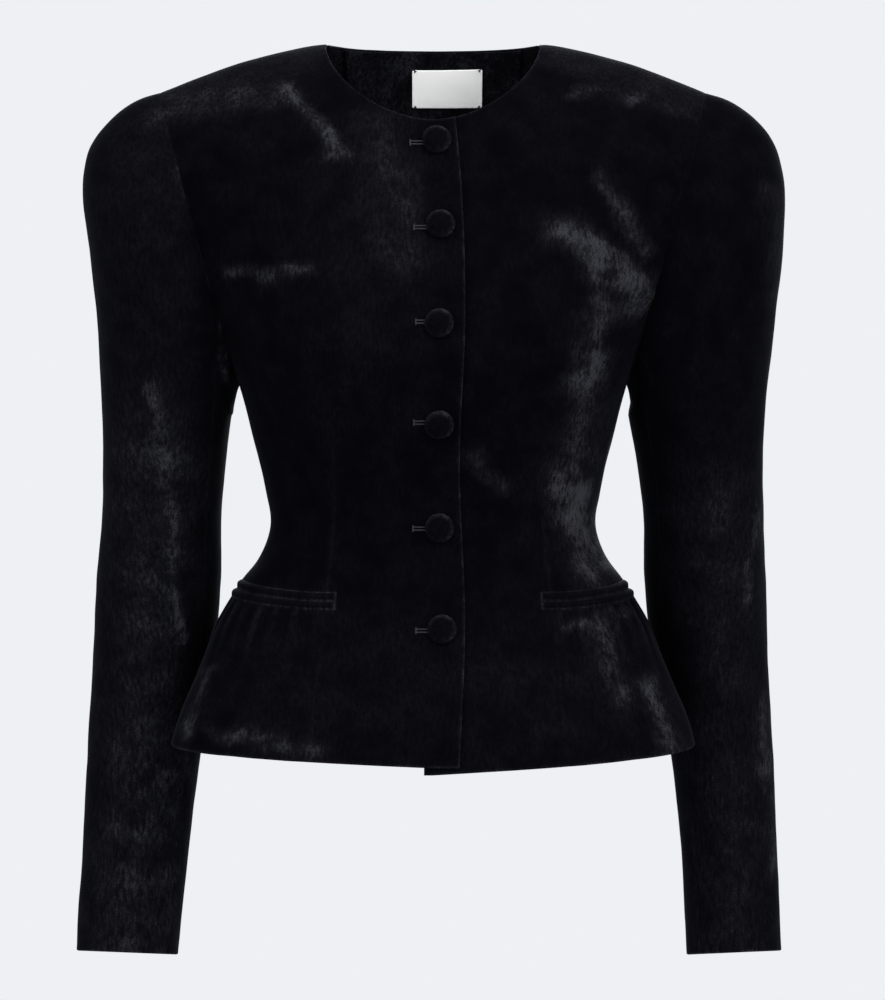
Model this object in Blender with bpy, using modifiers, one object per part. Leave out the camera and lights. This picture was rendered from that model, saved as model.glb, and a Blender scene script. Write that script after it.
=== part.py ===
"""Peplum blazer: a collarless velvet jacket in its worn shape, hollow and open at neck, hem and cuffs.

Metres, +Z up, the front faces -Y and the wearer's left is +X. The origin is on the centre line at
the height where the wearer's shoulders carry the jacket. Heights are given as a drop below the neck
point, the inner end of the shoulder seam. Pieces of both sides are worked out with x towards their
own side and mirrored last.
"""

import math

import bmesh
import bpy
import numpy as np
from mathutils import Vector

COLLECTION = "peplum_blazer"

# Cloth and seams
CLOTH = 0.002
FACING_CLOTH = 0.0015
LABEL_CLOTH = 0.001
SEAM_GAP = 0.0003

# Neck and shoulder
NECK_POINT_Z = 0.020
NECK_HALF_WIDTH = 0.0835
FRONT_NECK_DROP = 0.067
BACK_NECK_DROP = -0.0025
NECK_RIDGE_RISE = 0.042
SHOULDER_HALF_WIDTH = 0.212
SHOULDER_DROP = 0.0375
SHOULDER_CURVE = 1.45
SHOULDER_ROLL = 0.1135

# Armhole, a flat ring that leans inward from the shoulder to the underarm
UNDERARM_HALF_WIDTH = 0.151
UNDERARM_DROP = 0.265
ARMHOLE_HALF_DEPTH = 0.060
ARMHOLE_Y = 0.002

# Bust fullness, from the darts
BUST_FULLNESS = 0.009
BUST_X = 0.085
BUST_DROP = 0.235
BUST_SPREAD = 0.055

# Front closing, where the right front laps over the left
CLOSING_X = 0.0045
LAP_SHIFT = 0.0016
LAP_FLAT = 0.030
LAP_FADE = 0.080
LEFT_EDGE_X = -0.0064

# Hem
HEM_DROP_SIDE = 0.542
HEM_DROP_BACK = 0.549
HEM_DROP_FRONT = {"right": 0.5545, "left": 0.560}

# Pockets and gathers
POCKET_DROP_FRONT = 0.431
POCKET_DROP_SIDE = 0.423
WELT_HEIGHT = 0.0062
WELT_ARCH = 0.0016
WELT_REACH = 0.008
WELT_END = 0.003
GATHERS = 8
GATHER_HEIGHT = {"right": 0.0009, "left": 0.0012}
GATHER_LENGTH = 0.030

# Facets around a button
BUTTON_STEPS = 12

# Facing and label inside the back of the neck
FACING_ROWS = 4
LABEL_X = 0.0112
LABEL_HALF_WIDTH = 0.028
LABEL_TOP_DROP = 0.0126
LABEL_BOTTOM_DROP = 0.0412

# Sleeve seams, as angles around the sleeve from its outer edge towards the front
SLEEVE_FRONT_SEAM = 142
SLEEVE_BACK_SEAM = -105
SLEEVE_SET_OUT = 0.0005

# Rows of the body from the hem to the shoulder, as shares of the peplum and of the waist above it,
# and as angles around the armhole
PEPLUM_ROWS = np.array([0, 0.22, 0.44, 0.66, 0.85, 1])
WAIST_ROWS = np.array([0, 0.12, 0.25, 0.38, 0.51, 0.64, 0.77, 0.89, 1])
ARMHOLE_ANGLES = np.radians([180, 165, 150, 135, 120, 108, 96, 82, 68, 54, 40, 26, 12, 0])
RIDGE_MARGIN = 0.0004
NECK_ROW = 6

# Columns of the body, as shares across the neck, the side and the shoulder
BACK_NECK_SHARES = np.array([0, 0.08, 0.28, 0.48, 0.68, 0.86, 1])
LOWER_NECK_SHARE = 0.26
BACK_SIDE_SHARES = np.array([0.42, 0.57, 0.72, 0.86, 0.97, 1])
SHOULDER_SHARES = np.array([0.22, 0.44, 0.66, 0.86, 0.97, 1])


def table(columns, rows):
    """A table as a dictionary of columns."""
    names = columns.split()
    return {name: np.array([row[i] for row in rows]) for i, name in enumerate(names)}


BODY = table("drop front back", [
    (0.000, 0.072, 0.073),
    (0.0375, 0.080, 0.080),
    (0.067, 0.088, 0.088),
    (0.100, 0.096, 0.095),
    (0.150, 0.108, 0.102),
    (0.200, 0.117, 0.105),
    (0.240, 0.121, 0.104),
    (0.265, 0.119, 0.102),
    (0.308, 0.110, 0.096),
    (0.339, 0.101, 0.090),
    (0.3705, 0.095, 0.086),
    (0.402, 0.0975, 0.091),
    (0.433, 0.104, 0.103),
    (0.472, 0.113, 0.118),
    (0.520, 0.1225, 0.133),
    (0.560, 0.1285, 0.142),
])

SIDE = table("drop half_width y", [
    (0.265, 0.1510, 0.002),
    (0.277, 0.1474, 0.001),
    (0.308, 0.1400, 0.000),
    (0.339, 0.1322, 0.000),
    (0.3705, 0.1267, 0.000),
    (0.386, 0.1294, -0.001),
    (0.402, 0.1365, -0.003),
    (0.417, 0.1480, -0.006),
    (0.433, 0.1585, -0.010),
    (0.450, 0.1680, -0.014),
    (0.472, 0.1760, -0.021),
    (0.497, 0.1860, -0.029),
    (0.520, 0.1950, -0.037),
    (0.560, 0.2060, -0.047),
])

RIGHT_EDGE = table("drop x", [
    (0.060, 0.0168),
    (0.120, 0.0220),
    (0.210, 0.0245),
    (0.330, 0.0205),
    (0.445, 0.0245),
    (0.560, 0.0200),
])

DART = table("drop from_closing", [
    (0.250, 0.0820),
    (0.370, 0.0795),
    (0.430, 0.0855),
    (0.560, 0.0980),
])

BUTTONS = table("drop x", [
    (0.0836, 0.003),
    (0.1484, 0.006),
    (0.2232, 0.005),
    (0.2979, 0.005),
    (0.3760, 0.005),
    (0.4522, 0.007),
])

BUTTON_PROFILE = table("radius height", [
    (0.0, 0.0076),
    (0.0050, 0.0070),
    (0.0088, 0.0052),
    (0.0110, 0.0026),
    (0.0102, 0.0012),
    (0.0034, 0.0010),
    (0.0034, 0.0),
    (0.0, 0.0),
])

SLEEVE = table("outer_drop outer_right outer_left inner_drop inner_right inner_left y half_depth tilt", [
    (0.0415, 0.2262, 0.2262, 0.2658, 0.1515, 0.1515, 0.002, 0.0655, 0),
    (0.0480, 0.2385, 0.2385, 0.2675, 0.1522, 0.1522, 0.002, 0.0690, 0),
    (0.0585, 0.2515, 0.2515, 0.2695, 0.1528, 0.1528, 0.002, 0.0715, 0),
    (0.0720, 0.2630, 0.2630, 0.2720, 0.1534, 0.1534, 0.002, 0.0725, 0),
    (0.0890, 0.2705, 0.2705, 0.2750, 0.1540, 0.1540, 0.003, 0.0722, 0),
    (0.1180, 0.2735, 0.2750, 0.2785, 0.1548, 0.1545, 0.004, 0.0712, 0),
    (0.1600, 0.2680, 0.2732, 0.2820, 0.1556, 0.1540, 0.006, 0.0692, 0),
    (0.2200, 0.2622, 0.2668, 0.2870, 0.1566, 0.1533, 0.009, 0.0660, 0),
    (0.2900, 0.2588, 0.2597, 0.2930, 0.1586, 0.1540, 0.012, 0.0620, 0),
    (0.3300, 0.2593, 0.2592, 0.3310, 0.1635, 0.1610, 0.020, 0.0580, 0),
    (0.3700, 0.2608, 0.2599, 0.3710, 0.1671, 0.1660, 0.028, 0.0550, 0),
    (0.4150, 0.2654, 0.2631, 0.4160, 0.1679, 0.1670, 0.037, 0.0535, 0),
    (0.4600, 0.2685, 0.2648, 0.4610, 0.1714, 0.1720, 0.047, 0.0515, 0),
    (0.5000, 0.2717, 0.2667, 0.5010, 0.1770, 0.1795, 0.053, 0.0490, 0),
    (0.5450, 0.2745, 0.2700, 0.5460, 0.1837, 0.1878, 0.058, 0.0460, 0.0008),
    (0.6200, 0.2787, 0.2733, 0.6210, 0.1937, 0.1965, 0.059, 0.0430, 0.0028),
    (0.7132, 0.2836, 0.2768, 0.7165, 0.2029, 0.2018, 0.054, 0.0410, 0.0052),
])


def smooth(keys, values, at):
    """Values on a smooth curve through a table's rows, with no overshoot between rows."""
    at = np.clip(at, keys[0], keys[-1])
    steps = np.diff(keys)
    slopes = np.diff(values) / steps
    tangents = np.concatenate([slopes[:1], (slopes[:-1] + slopes[1:]) / 2, slopes[-1:]])
    turning = slopes[:-1] * slopes[1:] <= 0
    tangents[1:-1][turning] = 0
    row = np.clip(np.searchsorted(keys, at, side="right") - 1, 0, len(steps) - 1)
    t = (at - keys[row]) / steps[row]
    rise = values[row] * (1 + 2 * t) * (1 - t) ** 2 + values[row + 1] * t ** 2 * (3 - 2 * t)
    bend = tangents[row] * t * (1 - t) ** 2 - tangents[row + 1] * t ** 2 * (1 - t)
    return rise + bend * steps[row]


def ease(start, end, at):
    """0 before start, 1 after end and a smooth rise between them."""
    t = np.clip((at - start) / (end - start), 0, 1)
    return t * t * (3 - 2 * t)


def blend(first, last, share):
    return first + (last - first) * share


def with_margins(count, margin):
    """Even shares from 0 to 1 with a narrow step at each end, so that walls meet squarely at a seam."""
    return np.concatenate([[0], np.linspace(margin, 1 - margin, count), [1]])


def half_width(drop):
    """Half width of the body: the armhole's lean above the underarm, the side seam below it."""
    down = np.clip((drop - SHOULDER_DROP) / (UNDERARM_DROP - SHOULDER_DROP), 0, 1)
    armhole = blend(SHOULDER_HALF_WIDTH, UNDERARM_HALF_WIDTH, down)
    return np.where(drop < UNDERARM_DROP, armhole, smooth(SIDE["drop"], SIDE["half_width"], drop))


def centre_y(drop):
    """Depth of the line from side to side that front and back swell out from."""
    return np.where(drop < UNDERARM_DROP, ARMHOLE_Y, smooth(SIDE["drop"], SIDE["y"], drop))


def swell(drop, face):
    """How far the middle of the front or back stands out from the line from side to side."""
    return smooth(BODY["drop"], BODY["front" if face < 0 else "back"], drop) - face * centre_y(drop)


def end_angle(drop, face):
    """Angle where the front or back ends, at the armhole above the underarm and the side seam below."""
    middle = (SHOULDER_DROP + UNDERARM_DROP) / 2
    down = np.clip((drop - middle) / (UNDERARM_DROP - middle), 0, 1)
    return np.arccos(ARMHOLE_HALF_DEPTH * np.sqrt(1 - down ** 2) / swell(drop, face))


def ridge_drop(x):
    """Drop of the shoulder ridge at a distance from the centre line."""
    x = np.abs(x)
    outside = np.clip((x - NECK_HALF_WIDTH) / (SHOULDER_HALF_WIDTH - NECK_HALF_WIDTH), 0, 1.2)
    inside = np.clip(1 - (x / NECK_HALF_WIDTH) ** 2, 0, 1)
    return SHOULDER_DROP * outside ** SHOULDER_CURVE - NECK_RIDGE_RISE * inside ** 1.5


def body_point(angle, drop, face):
    """Point of the body's outer face. Face -1 is the front, 1 the back; angle runs from its middle out."""
    x = half_width(drop) * np.sin(angle) / np.sin(end_angle(drop, face))
    y = centre_y(drop) + face * swell(drop, face) * np.cos(angle)
    if face < 0:
        spread = ((np.abs(x) - BUST_X) ** 2 + (drop - BUST_DROP) ** 2) / BUST_SPREAD ** 2
        y = y - BUST_FULLNESS * np.exp(-spread) * np.cos(angle).clip(0) ** 0.5
    rise = np.clip(1 - (drop - ridge_drop(x)) / SHOULDER_ROLL, 0, 1)
    y = y * np.sqrt(1 - rise ** 2) + face * SEAM_GAP / 2
    return np.stack([x, y, NECK_POINT_Z - drop], axis=-1)


def front_point(angle, drop, side):
    """Point of a front, which stands proud or sits back where the two fronts lap."""
    point = body_point(angle, drop, -1)
    lapped = 1 - ease(LAP_FLAT, LAP_FADE, np.abs(point[..., 0]))
    point[..., 1] += LAP_SHIFT * lapped * (1 if side == "left" else -1)
    return point


def moved_out(surface, angle, drop, distance):
    """Points of a surface moved out along its normal."""
    step = 0.0005
    across = surface(angle, drop) - surface(angle - step, drop)
    down = surface(angle, drop + step) - surface(angle, drop - step)
    normal = np.cross(across, down)
    normal /= np.linalg.norm(normal, axis=-1, keepdims=True)
    point = surface(angle, drop)
    outward = np.sign(np.sum(normal * (point * [1, 1, 0]), axis=-1, keepdims=True))
    return point + normal * outward * np.expand_dims(distance, -1)


def angle_at(x, drop, face=-1):
    return np.arcsin(np.clip(x * np.sin(end_angle(drop, face)) / half_width(drop), -1, 1))


def mirrored(points, side):
    return points * [1 if side == "left" else -1, 1, 1]


def material(name, colour, roughness):
    made = bpy.data.materials.new(name)
    made.use_nodes = True
    shader = made.node_tree.nodes["Principled BSDF"]
    shader.inputs["Base Color"].default_value = (*colour, 1)
    shader.inputs["Roughness"].default_value = roughness
    return made


def add_object(name, mesh, colour, roughness=0.9):
    made = bpy.data.objects.new(name, mesh)
    mesh.materials.append(material(name, colour, roughness))
    bpy.data.collections[COLLECTION].objects.link(made)
    return made


def cloth(name, points, thickness=CLOTH, cut_away=(), colour=(0.012, 0.012, 0.016), flip=False):
    """A cloth piece: a grid over rows of points, less any cut-away blocks, with a wall on its inner side."""
    rows, columns = points.shape[:2]
    grid = bmesh.new()
    bmesh.ops.create_grid(grid, x_segments=columns - 1, y_segments=rows - 1, size=1)
    place = {}
    for vertex in grid.verts:
        column = round((vertex.co.x + 1) / 2 * (columns - 1))
        row = round((vertex.co.y + 1) / 2 * (rows - 1))
        place[vertex] = (row, column)
        vertex.co = points[row, column]
    for first_row, last_row, first_column in cut_away:
        spare = []
        for face in grid.faces:
            row = min(place[vertex][0] for vertex in face.verts)
            column = min(place[vertex][1] for vertex in face.verts)
            if first_row <= row < last_row and column >= first_column:
                spare.append(face)
        bmesh.ops.delete(grid, geom=spare, context="FACES")
    if flip:
        bmesh.ops.reverse_faces(grid, faces=grid.faces)
    mesh = bpy.data.meshes.new(name)
    grid.to_mesh(mesh)
    grid.free()
    made = add_object(name, mesh, colour)
    wall = made.modifiers.new("wall", "SOLIDIFY")
    wall.thickness = thickness
    wall.offset = -1
    return made


def pocket_line(angle, dart_angle):
    """Drop of the slit between the two welts, which rises from the dart to the side."""
    return blend(POCKET_DROP_FRONT, POCKET_DROP_SIDE, ease(dart_angle, math.pi / 2, angle))


def dart_x(drop, side):
    """Distance of the dart and of the seam below it, towards the piece's own side."""
    closing = CLOSING_X if side == "left" else -CLOSING_X
    return closing + smooth(DART["drop"], DART["from_closing"], drop)


def front_edge_x(drop, side):
    """Place of the front edge, towards the piece's own side, so negative past the centre line."""
    if side == "left":
        return np.full_like(drop, LEFT_EDGE_X)
    return -smooth(RIGHT_EDGE["drop"], RIGHT_EDGE["x"], drop)


def evenly(points, count):
    """Indices of points that split a line of points into even lengths."""
    lengths = np.concatenate([[0], np.cumsum(np.linalg.norm(np.diff(points, axis=0), axis=1))])
    return np.searchsorted(lengths, np.linspace(0, 0.999999, count) * lengths[-1])


def back_neckline(x):
    """Drop of the back neckline."""
    return BACK_NECK_DROP * np.sqrt(1 - (x / NECK_HALF_WIDTH) ** 2)


def hem_line(angle, side):
    return blend(HEM_DROP_FRONT[side], HEM_DROP_SIDE, np.clip(angle / (math.pi / 2), 0, 1))


def lower_front(side):
    """Angles and drops of a front's rows from the hem to the underarm."""
    side_shares = np.concatenate([np.linspace(0, 1, 6)[1:5], [0.97, 1]])
    band = WELT_HEIGHT + 1.5 * SEAM_GAP
    angles = []
    drops = []
    for row in range(len(PEPLUM_ROWS) + len(WAIST_ROWS)):
        drop = np.full(12, 0.5)
        for _ in range(6):
            dart = angle_at(dart_x(drop[5], side), drop[5])
            welt_end = angle_at(dart_x(drop[4], side) - WELT_REACH, drop[4])
            edge = angle_at(front_edge_x(drop[:1], side), drop[:1])[0]
            angle = np.concatenate([blend(edge, welt_end, np.linspace(0, 1, 5)), [dart]])
            angle = np.concatenate([angle, blend(dart, math.pi / 2, side_shares)])
            pocket = pocket_line(angle, dart)
            if row < len(PEPLUM_ROWS):
                drop = blend(hem_line(angle, side), pocket + band, PEPLUM_ROWS[row])
            else:
                drop = blend(pocket - band, UNDERARM_DROP, WAIST_ROWS[row - len(PEPLUM_ROWS)])
        angles.append(angle)
        drops.append(drop)
    return np.array(angles), np.array(drops)


def neckline_start(side, count):
    """Angles and drops along a front neckline, from the front edge to the neck point."""
    corner = front_edge_x(np.array([FRONT_NECK_DROP]), side)[0]
    turn = np.linspace(math.asin(corner / NECK_HALF_WIDTH), math.pi / 2, 2000)
    x = NECK_HALF_WIDTH * np.sin(turn)
    drop = FRONT_NECK_DROP * (1 - np.abs(x / NECK_HALF_WIDTH) ** 1.8).clip(0) ** 0.6
    angle = angle_at(x, drop)
    chosen = evenly(body_point(angle, drop, -1), count)
    return angle[chosen], drop[chosen]


def upper_rows(shares, start_angles, start_drops, top_shares, neckline_under, face):
    """Angles and drops from the underarm to the shoulder, between a middle edge and the armhole.

    A narrow row comes just before the last, so that front and back meet squarely on the shoulder.
    """
    middle = (SHOULDER_DROP + UNDERARM_DROP) / 2
    armhole_drops = middle - (UNDERARM_DROP - middle) * np.cos(ARMHOLE_ANGLES)
    rows = len(ARMHOLE_ANGLES)
    start_under = start_drops - ridge_drop(body_point(start_angles, start_drops, face)[:, 0])
    end_under = armhole_drops - ridge_drop(half_width(armhole_drops))
    angles = []
    drops = []
    for row in range(1, rows):
        height = row / (rows - 1)
        share = blend(shares, top_shares, height)
        first_angle = blend(start_angles[0], math.pi / 2, share)
        first_under = UNDERARM_DROP - ridge_drop(UNDERARM_HALF_WIDTH * np.sin(first_angle))
        sag = first_under - blend(start_under[0], end_under[0], share)
        crown = neckline_under(share) - blend(start_under[-1], end_under[-1], share)
        under = blend(start_under[row], end_under[row], share)
        under = (under + sag * (1 - height) ** 2 + crown * height ** 2).clip(0)
        margins = [RIDGE_MARGIN, 0] if row == rows - 1 else [0]
        for margin in margins:
            drop = under + margin
            for _ in range(12):
                angle = blend(start_angles[row], end_angle(drop, face), share)
                drop = ridge_drop(body_point(angle, drop, face)[:, 0]) + under + margin
            angles.append(angle)
            drops.append(drop)
    return np.array(angles), np.array(drops)


def front(side):
    """One front: shoulder to hem at the closing, and to the pocket at the side."""
    angles, drops = lower_front(side)
    shares = (angles[-1] - angles[-1][0]) / (math.pi / 2 - angles[-1][0])
    neck_angles, neck_drops = neckline_start(side, len(ARMHOLE_ANGLES) - NECK_ROW)
    edge_drops = np.linspace(UNDERARM_DROP, neck_drops[0], NECK_ROW + 1)[:-1]
    edge_angles = angle_at(front_edge_x(edge_drops, side), edge_drops)
    start_angles = np.concatenate([edge_angles, neck_angles])
    start_drops = np.concatenate([edge_drops, neck_drops])
    top_shares = np.concatenate([np.linspace(0, 0.9, len(shares) - 2), [0.97, 1]])
    top = upper_rows(shares, start_angles, start_drops, top_shares, np.zeros_like, -1)
    angles = np.concatenate([angles, top[0]])
    drops = np.concatenate([drops, top[1]])
    points = mirrored(front_point(angles, drops, side), side)
    below = len(PEPLUM_ROWS) - 1
    cloth(f"front_{side}", points, cut_away=((0, below, 5), (below, below + 1, 4)), flip=side == "right")


def back_points():
    """Rows of a back, from the hem up to the neckline and from the centre-back seam to the side."""
    columns = np.concatenate([BACK_NECK_SHARES * LOWER_NECK_SHARE, BACK_SIDE_SHARES])
    angle = columns * math.pi / 2
    band = WELT_HEIGHT + 1.5 * SEAM_GAP
    hem = blend(HEM_DROP_BACK, HEM_DROP_SIDE, columns)
    angles = []
    drops = []
    for share in PEPLUM_ROWS:
        angles.append(angle)
        drops.append(blend(hem, POCKET_DROP_SIDE + band, share))
    for share in WAIST_ROWS:
        angles.append(angle)
        drops.append(np.full_like(angle, blend(POCKET_DROP_SIDE - band, UNDERARM_DROP, share)))
    start_drops = np.linspace(UNDERARM_DROP, BACK_NECK_DROP, len(ARMHOLE_ANGLES))

    neck_share = angle_at(NECK_HALF_WIDTH, 0.0, 1) / end_angle(0.0, 1)
    top_shares = np.concatenate([BACK_NECK_SHARES * neck_share, blend(neck_share, 1, SHOULDER_SHARES)])

    def neckline_under(share):
        x = NECK_HALF_WIDTH * (share / neck_share).clip(0, 1)
        return back_neckline(x) - ridge_drop(x)

    top = upper_rows(columns, np.zeros_like(start_drops), start_drops, top_shares, neckline_under, 1)
    angles = np.concatenate([np.array(angles), top[0]])
    drops = np.concatenate([np.array(drops), top[1]])
    points = body_point(angles, drops, 1)
    points[..., 0] += SEAM_GAP / 2
    return points


def back(side):
    """One back, from the centre-back seam to the side seam and armhole."""
    points = mirrored(back_points(), side)
    cloth(f"back_{side}", points if side == "left" else points[:, ::-1], flip=True)


def peplum(side):
    """Side piece of the peplum, gathered into the seam below the pocket."""
    columns = with_margins(3 * GATHERS, 0.02)
    band = WELT_HEIGHT + 1.5 * SEAM_GAP
    points = []
    for share in PEPLUM_ROWS:
        drop = np.full_like(columns, 0.5)
        for _ in range(6):
            dart = angle_at(dart_x(drop[0], side) + SEAM_GAP, drop[0])
            angle = blend(dart, math.pi / 2, columns)
            top = pocket_line(angle, dart) + band
            drop = blend(hem_line(angle, side), top, share)
        fade = np.exp(-((drop - top) / GATHER_LENGTH) ** 2) * np.sin(math.pi * columns) ** 0.5
        wave = GATHER_HEIGHT[side] * np.sin(2 * math.pi * GATHERS * columns) * fade
        points.append(moved_out(lambda a, d: front_point(a, d, side), angle, drop, wave))
    cloth(f"peplum_{side}", mirrored(np.array(points), side), flip=side == "right")


def welts(side):
    """The two folded strips that fill the pocket slit."""
    columns = np.concatenate([np.linspace(0, 0.9, 9), [0.97, 1]])
    arch = np.array([0, 0.3, 0.5, 0.7, 1])
    for name, direction in (("upper", -1), ("lower", 1)):
        points = []
        for share in arch:
            drop = np.full_like(columns, POCKET_DROP_FRONT)
            for _ in range(6):
                dart = angle_at(dart_x(drop[0], side), drop[0])
                start = angle_at(dart_x(drop[0], side) - WELT_REACH + SEAM_GAP, drop[0])
                angle = blend(start, math.pi / 2 - WELT_END, columns)
                drop = pocket_line(angle, dart) + direction * (SEAM_GAP / 2 + WELT_HEIGHT * share)
            lift = np.full_like(columns, WELT_ARCH * math.sin(math.pi * share))
            points.append(moved_out(lambda a, d: front_point(a, d, side), angle, drop, lift))
        flip = (side == "right") == (name == "upper")
        cloth(f"welt_{name}_{side}", mirrored(np.array(points), side), flip=flip)


def sleeve_rings(side, angles):
    """Rings of a sleeve at angles around it, from the armhole seam to the cuff."""
    middle = (SHOULDER_DROP + UNDERARM_DROP) / 2
    armhole_drop = middle - (UNDERARM_DROP - middle) * np.cos(angles)
    front_seam = body_point(end_angle(armhole_drop, -1), armhole_drop, -1)
    back_seam = body_point(end_angle(armhole_drop, 1), armhole_drop, 1)
    seam = np.where(np.sin(angles)[:, None] >= 0, front_seam, back_seam)
    lean = Vector((UNDERARM_DROP - SHOULDER_DROP, 0, UNDERARM_HALF_WIDTH - SHOULDER_HALF_WIDTH))
    rings = [seam + np.array(lean.normalized()) * SLEEVE_SET_OUT]
    for row in range(len(SLEEVE["y"])):
        outer = np.array([SLEEVE[f"outer_{side}"][row], 0, NECK_POINT_Z - SLEEVE["outer_drop"][row]])
        inner = np.array([SLEEVE[f"inner_{side}"][row], 0, NECK_POINT_Z - SLEEVE["inner_drop"][row]])
        ring = (outer + inner) / 2 + (outer - inner) / 2 * np.cos(angles)[:, None]
        ring[:, 1] = SLEEVE["y"][row] - SLEEVE["half_depth"][row] * np.sin(angles)
        ring[:, 2] += SLEEVE["tilt"][row] * np.sin(angles)
        rings.append(ring)
    return np.array(rings)


def sleeve(side):
    """The upper and under pieces of one sleeve."""
    gap = math.degrees(SEAM_GAP / 2 / ARMHOLE_HALF_DEPTH)
    for name, first, last, count in (
        ("upper", SLEEVE_BACK_SEAM + gap, SLEEVE_FRONT_SEAM - gap, 15),
        ("under", SLEEVE_FRONT_SEAM + gap, SLEEVE_BACK_SEAM + 360 - gap, 8),
    ):
        angles = np.radians(blend(first, last, with_margins(count, 0.012)))
        points = mirrored(sleeve_rings(side, angles), side)
        cloth(f"{name}_sleeve_{side}", points, flip=side == "right")


def on_grid(points, rows, columns):
    """Points on the facets of a grid, at rows and columns that may fall between its own."""
    def along(values, at, axis):
        low = np.floor(at).astype(int)
        high = np.ceil(at).astype(int)
        share = (at - low).reshape((-1, 1, 1) if axis == 0 else (1, -1, 1))
        return blend(np.take(values, low, axis), np.take(values, high, axis), share)
    return along(along(points, np.array(rows), 0), np.array(columns), 1)


def moved_in(points, distance):
    """Points of a grid moved to its inner side. Rows run up and columns towards the wearer's left."""
    up = np.gradient(points, axis=0)
    across = np.gradient(points, axis=1)
    normal = np.cross(up, across)
    return points - normal / np.linalg.norm(normal, axis=-1, keepdims=True) * distance


def back_neck_facing():
    """Band inside the back of the neck, laid on the backs' own points. Returns its points."""
    own = back_points()
    backs = np.concatenate([mirrored(own, "right")[:, ::-1], own[:, 1:]], axis=1)
    middle = own.shape[1] - 1
    last = own.shape[0] - 1
    reach = len(BACK_NECK_SHARES) - 2
    columns = np.arange(middle - reach, middle + reach + 1)
    rows = np.arange(last - FACING_ROWS, last)
    facing = on_grid(moved_in(backs, CLOTH + 2 * SEAM_GAP), rows, columns)
    cloth("back_neck_facing", facing, thickness=FACING_CLOTH, flip=True)
    return facing


def span(first, last):
    """A first and last place on a grid with the grid's own lines between them."""
    return np.concatenate([[first], np.arange(math.ceil(first), math.floor(last) + 1), [last]])


def label(facing):
    """Blank label on the facing's inner side, laid on the facing's own points."""
    inner = moved_in(facing, FACING_CLOTH + 2 * SEAM_GAP)
    heights = inner[:, facing.shape[1] // 2, 2]
    x = inner[len(heights) // 2, :, 0]
    bottom = np.interp(NECK_POINT_Z - LABEL_BOTTOM_DROP, heights, np.arange(len(heights)))
    top = np.interp(NECK_POINT_Z - LABEL_TOP_DROP, heights, np.arange(len(heights)))
    right = np.interp(LABEL_X - LABEL_HALF_WIDTH, x, np.arange(len(x)))
    left = np.interp(LABEL_X + LABEL_HALF_WIDTH, x, np.arange(len(x)))
    points = on_grid(inner, span(bottom, top), span(right, left))
    cloth("label", points, thickness=LABEL_CLOTH, colour=(0.8, 0.79, 0.76), flip=True)


def buttons():
    """Domed covered buttons on short shanks, along the closing of the right front."""
    rim = [(radius, 0, height) for radius, height in zip(*BUTTON_PROFILE.values())]
    for number, (drop, x) in enumerate(zip(BUTTONS["drop"], BUTTONS["x"]), start=1):
        angle = angle_at(np.array([-x]), drop)
        drops = np.array([drop])
        surface = moved_out(lambda a, d: front_point(a, d, "right"), angle, drops, np.zeros(1))
        lifted = moved_out(lambda a, d: front_point(a, d, "right"), angle, drops, np.full(1, SEAM_GAP))
        seat = mirrored(lifted, "right")[0]
        outward = Vector(seat - mirrored(surface, "right")[0])
        mesh = bpy.data.meshes.new(f"button_{number}")
        mesh.from_pydata(rim, [(i, i + 1) for i in range(len(rim) - 1)], [])
        made = add_object(f"button_{number}", mesh, (0.012, 0.012, 0.016))
        turn = made.modifiers.new("turn", "SCREW")
        turn.steps = BUTTON_STEPS
        turn.render_steps = BUTTON_STEPS
        turn.use_merge_vertices = True
        turn.merge_threshold = 0.00005
        made.location = seat
        made.rotation_mode = "QUATERNION"
        made.rotation_quaternion = outward.to_track_quat("Z", "Y")


def main():
    for old in list(bpy.data.objects):
        bpy.data.objects.remove(old)
    bpy.context.scene.collection.children.link(bpy.data.collections.new(COLLECTION))
    for side in ("right", "left"):
        front(side)
        peplum(side)
        back(side)
        sleeve(side)
        welts(side)
    buttons()
    label(back_neck_facing())


main()
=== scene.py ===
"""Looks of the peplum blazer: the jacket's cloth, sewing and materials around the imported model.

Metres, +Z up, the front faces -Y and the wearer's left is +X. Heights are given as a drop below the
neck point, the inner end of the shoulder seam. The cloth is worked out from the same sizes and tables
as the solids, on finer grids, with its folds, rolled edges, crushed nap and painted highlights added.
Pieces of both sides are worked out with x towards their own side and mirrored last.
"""

import math

import bpy
import numpy as np
from mathutils import Matrix, Vector, kdtree, noise


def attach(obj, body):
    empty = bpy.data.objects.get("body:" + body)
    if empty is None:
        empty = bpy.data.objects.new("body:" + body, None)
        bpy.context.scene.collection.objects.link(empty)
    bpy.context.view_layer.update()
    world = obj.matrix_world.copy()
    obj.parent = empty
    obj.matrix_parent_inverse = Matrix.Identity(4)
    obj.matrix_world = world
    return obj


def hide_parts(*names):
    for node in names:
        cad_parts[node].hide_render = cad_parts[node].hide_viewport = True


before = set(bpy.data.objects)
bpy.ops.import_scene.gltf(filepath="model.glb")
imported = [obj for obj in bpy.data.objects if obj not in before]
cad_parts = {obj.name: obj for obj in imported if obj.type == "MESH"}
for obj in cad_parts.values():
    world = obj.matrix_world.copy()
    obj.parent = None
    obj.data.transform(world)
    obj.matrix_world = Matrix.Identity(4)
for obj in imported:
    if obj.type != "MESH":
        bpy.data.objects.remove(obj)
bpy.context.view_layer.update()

BODY_NAME = "root"
NOISE_SEED = 2

# Direction of x towards each of the wearer's sides
SIGN = {"right": -1, "left": 1}

# Cloth and seams
CLOTH = 0.002
FACING_CLOTH = 0.0015
LABEL_CLOTH = 0.001
SEAM_GAP = 0.0003
EDGE_ROLL = 0.0013
FACING_ROLL = 0.0008
LABEL_ROLL = 0.0004
SEAM_ROLL = 0.00045
SEAM_REACH = 0.0007

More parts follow.
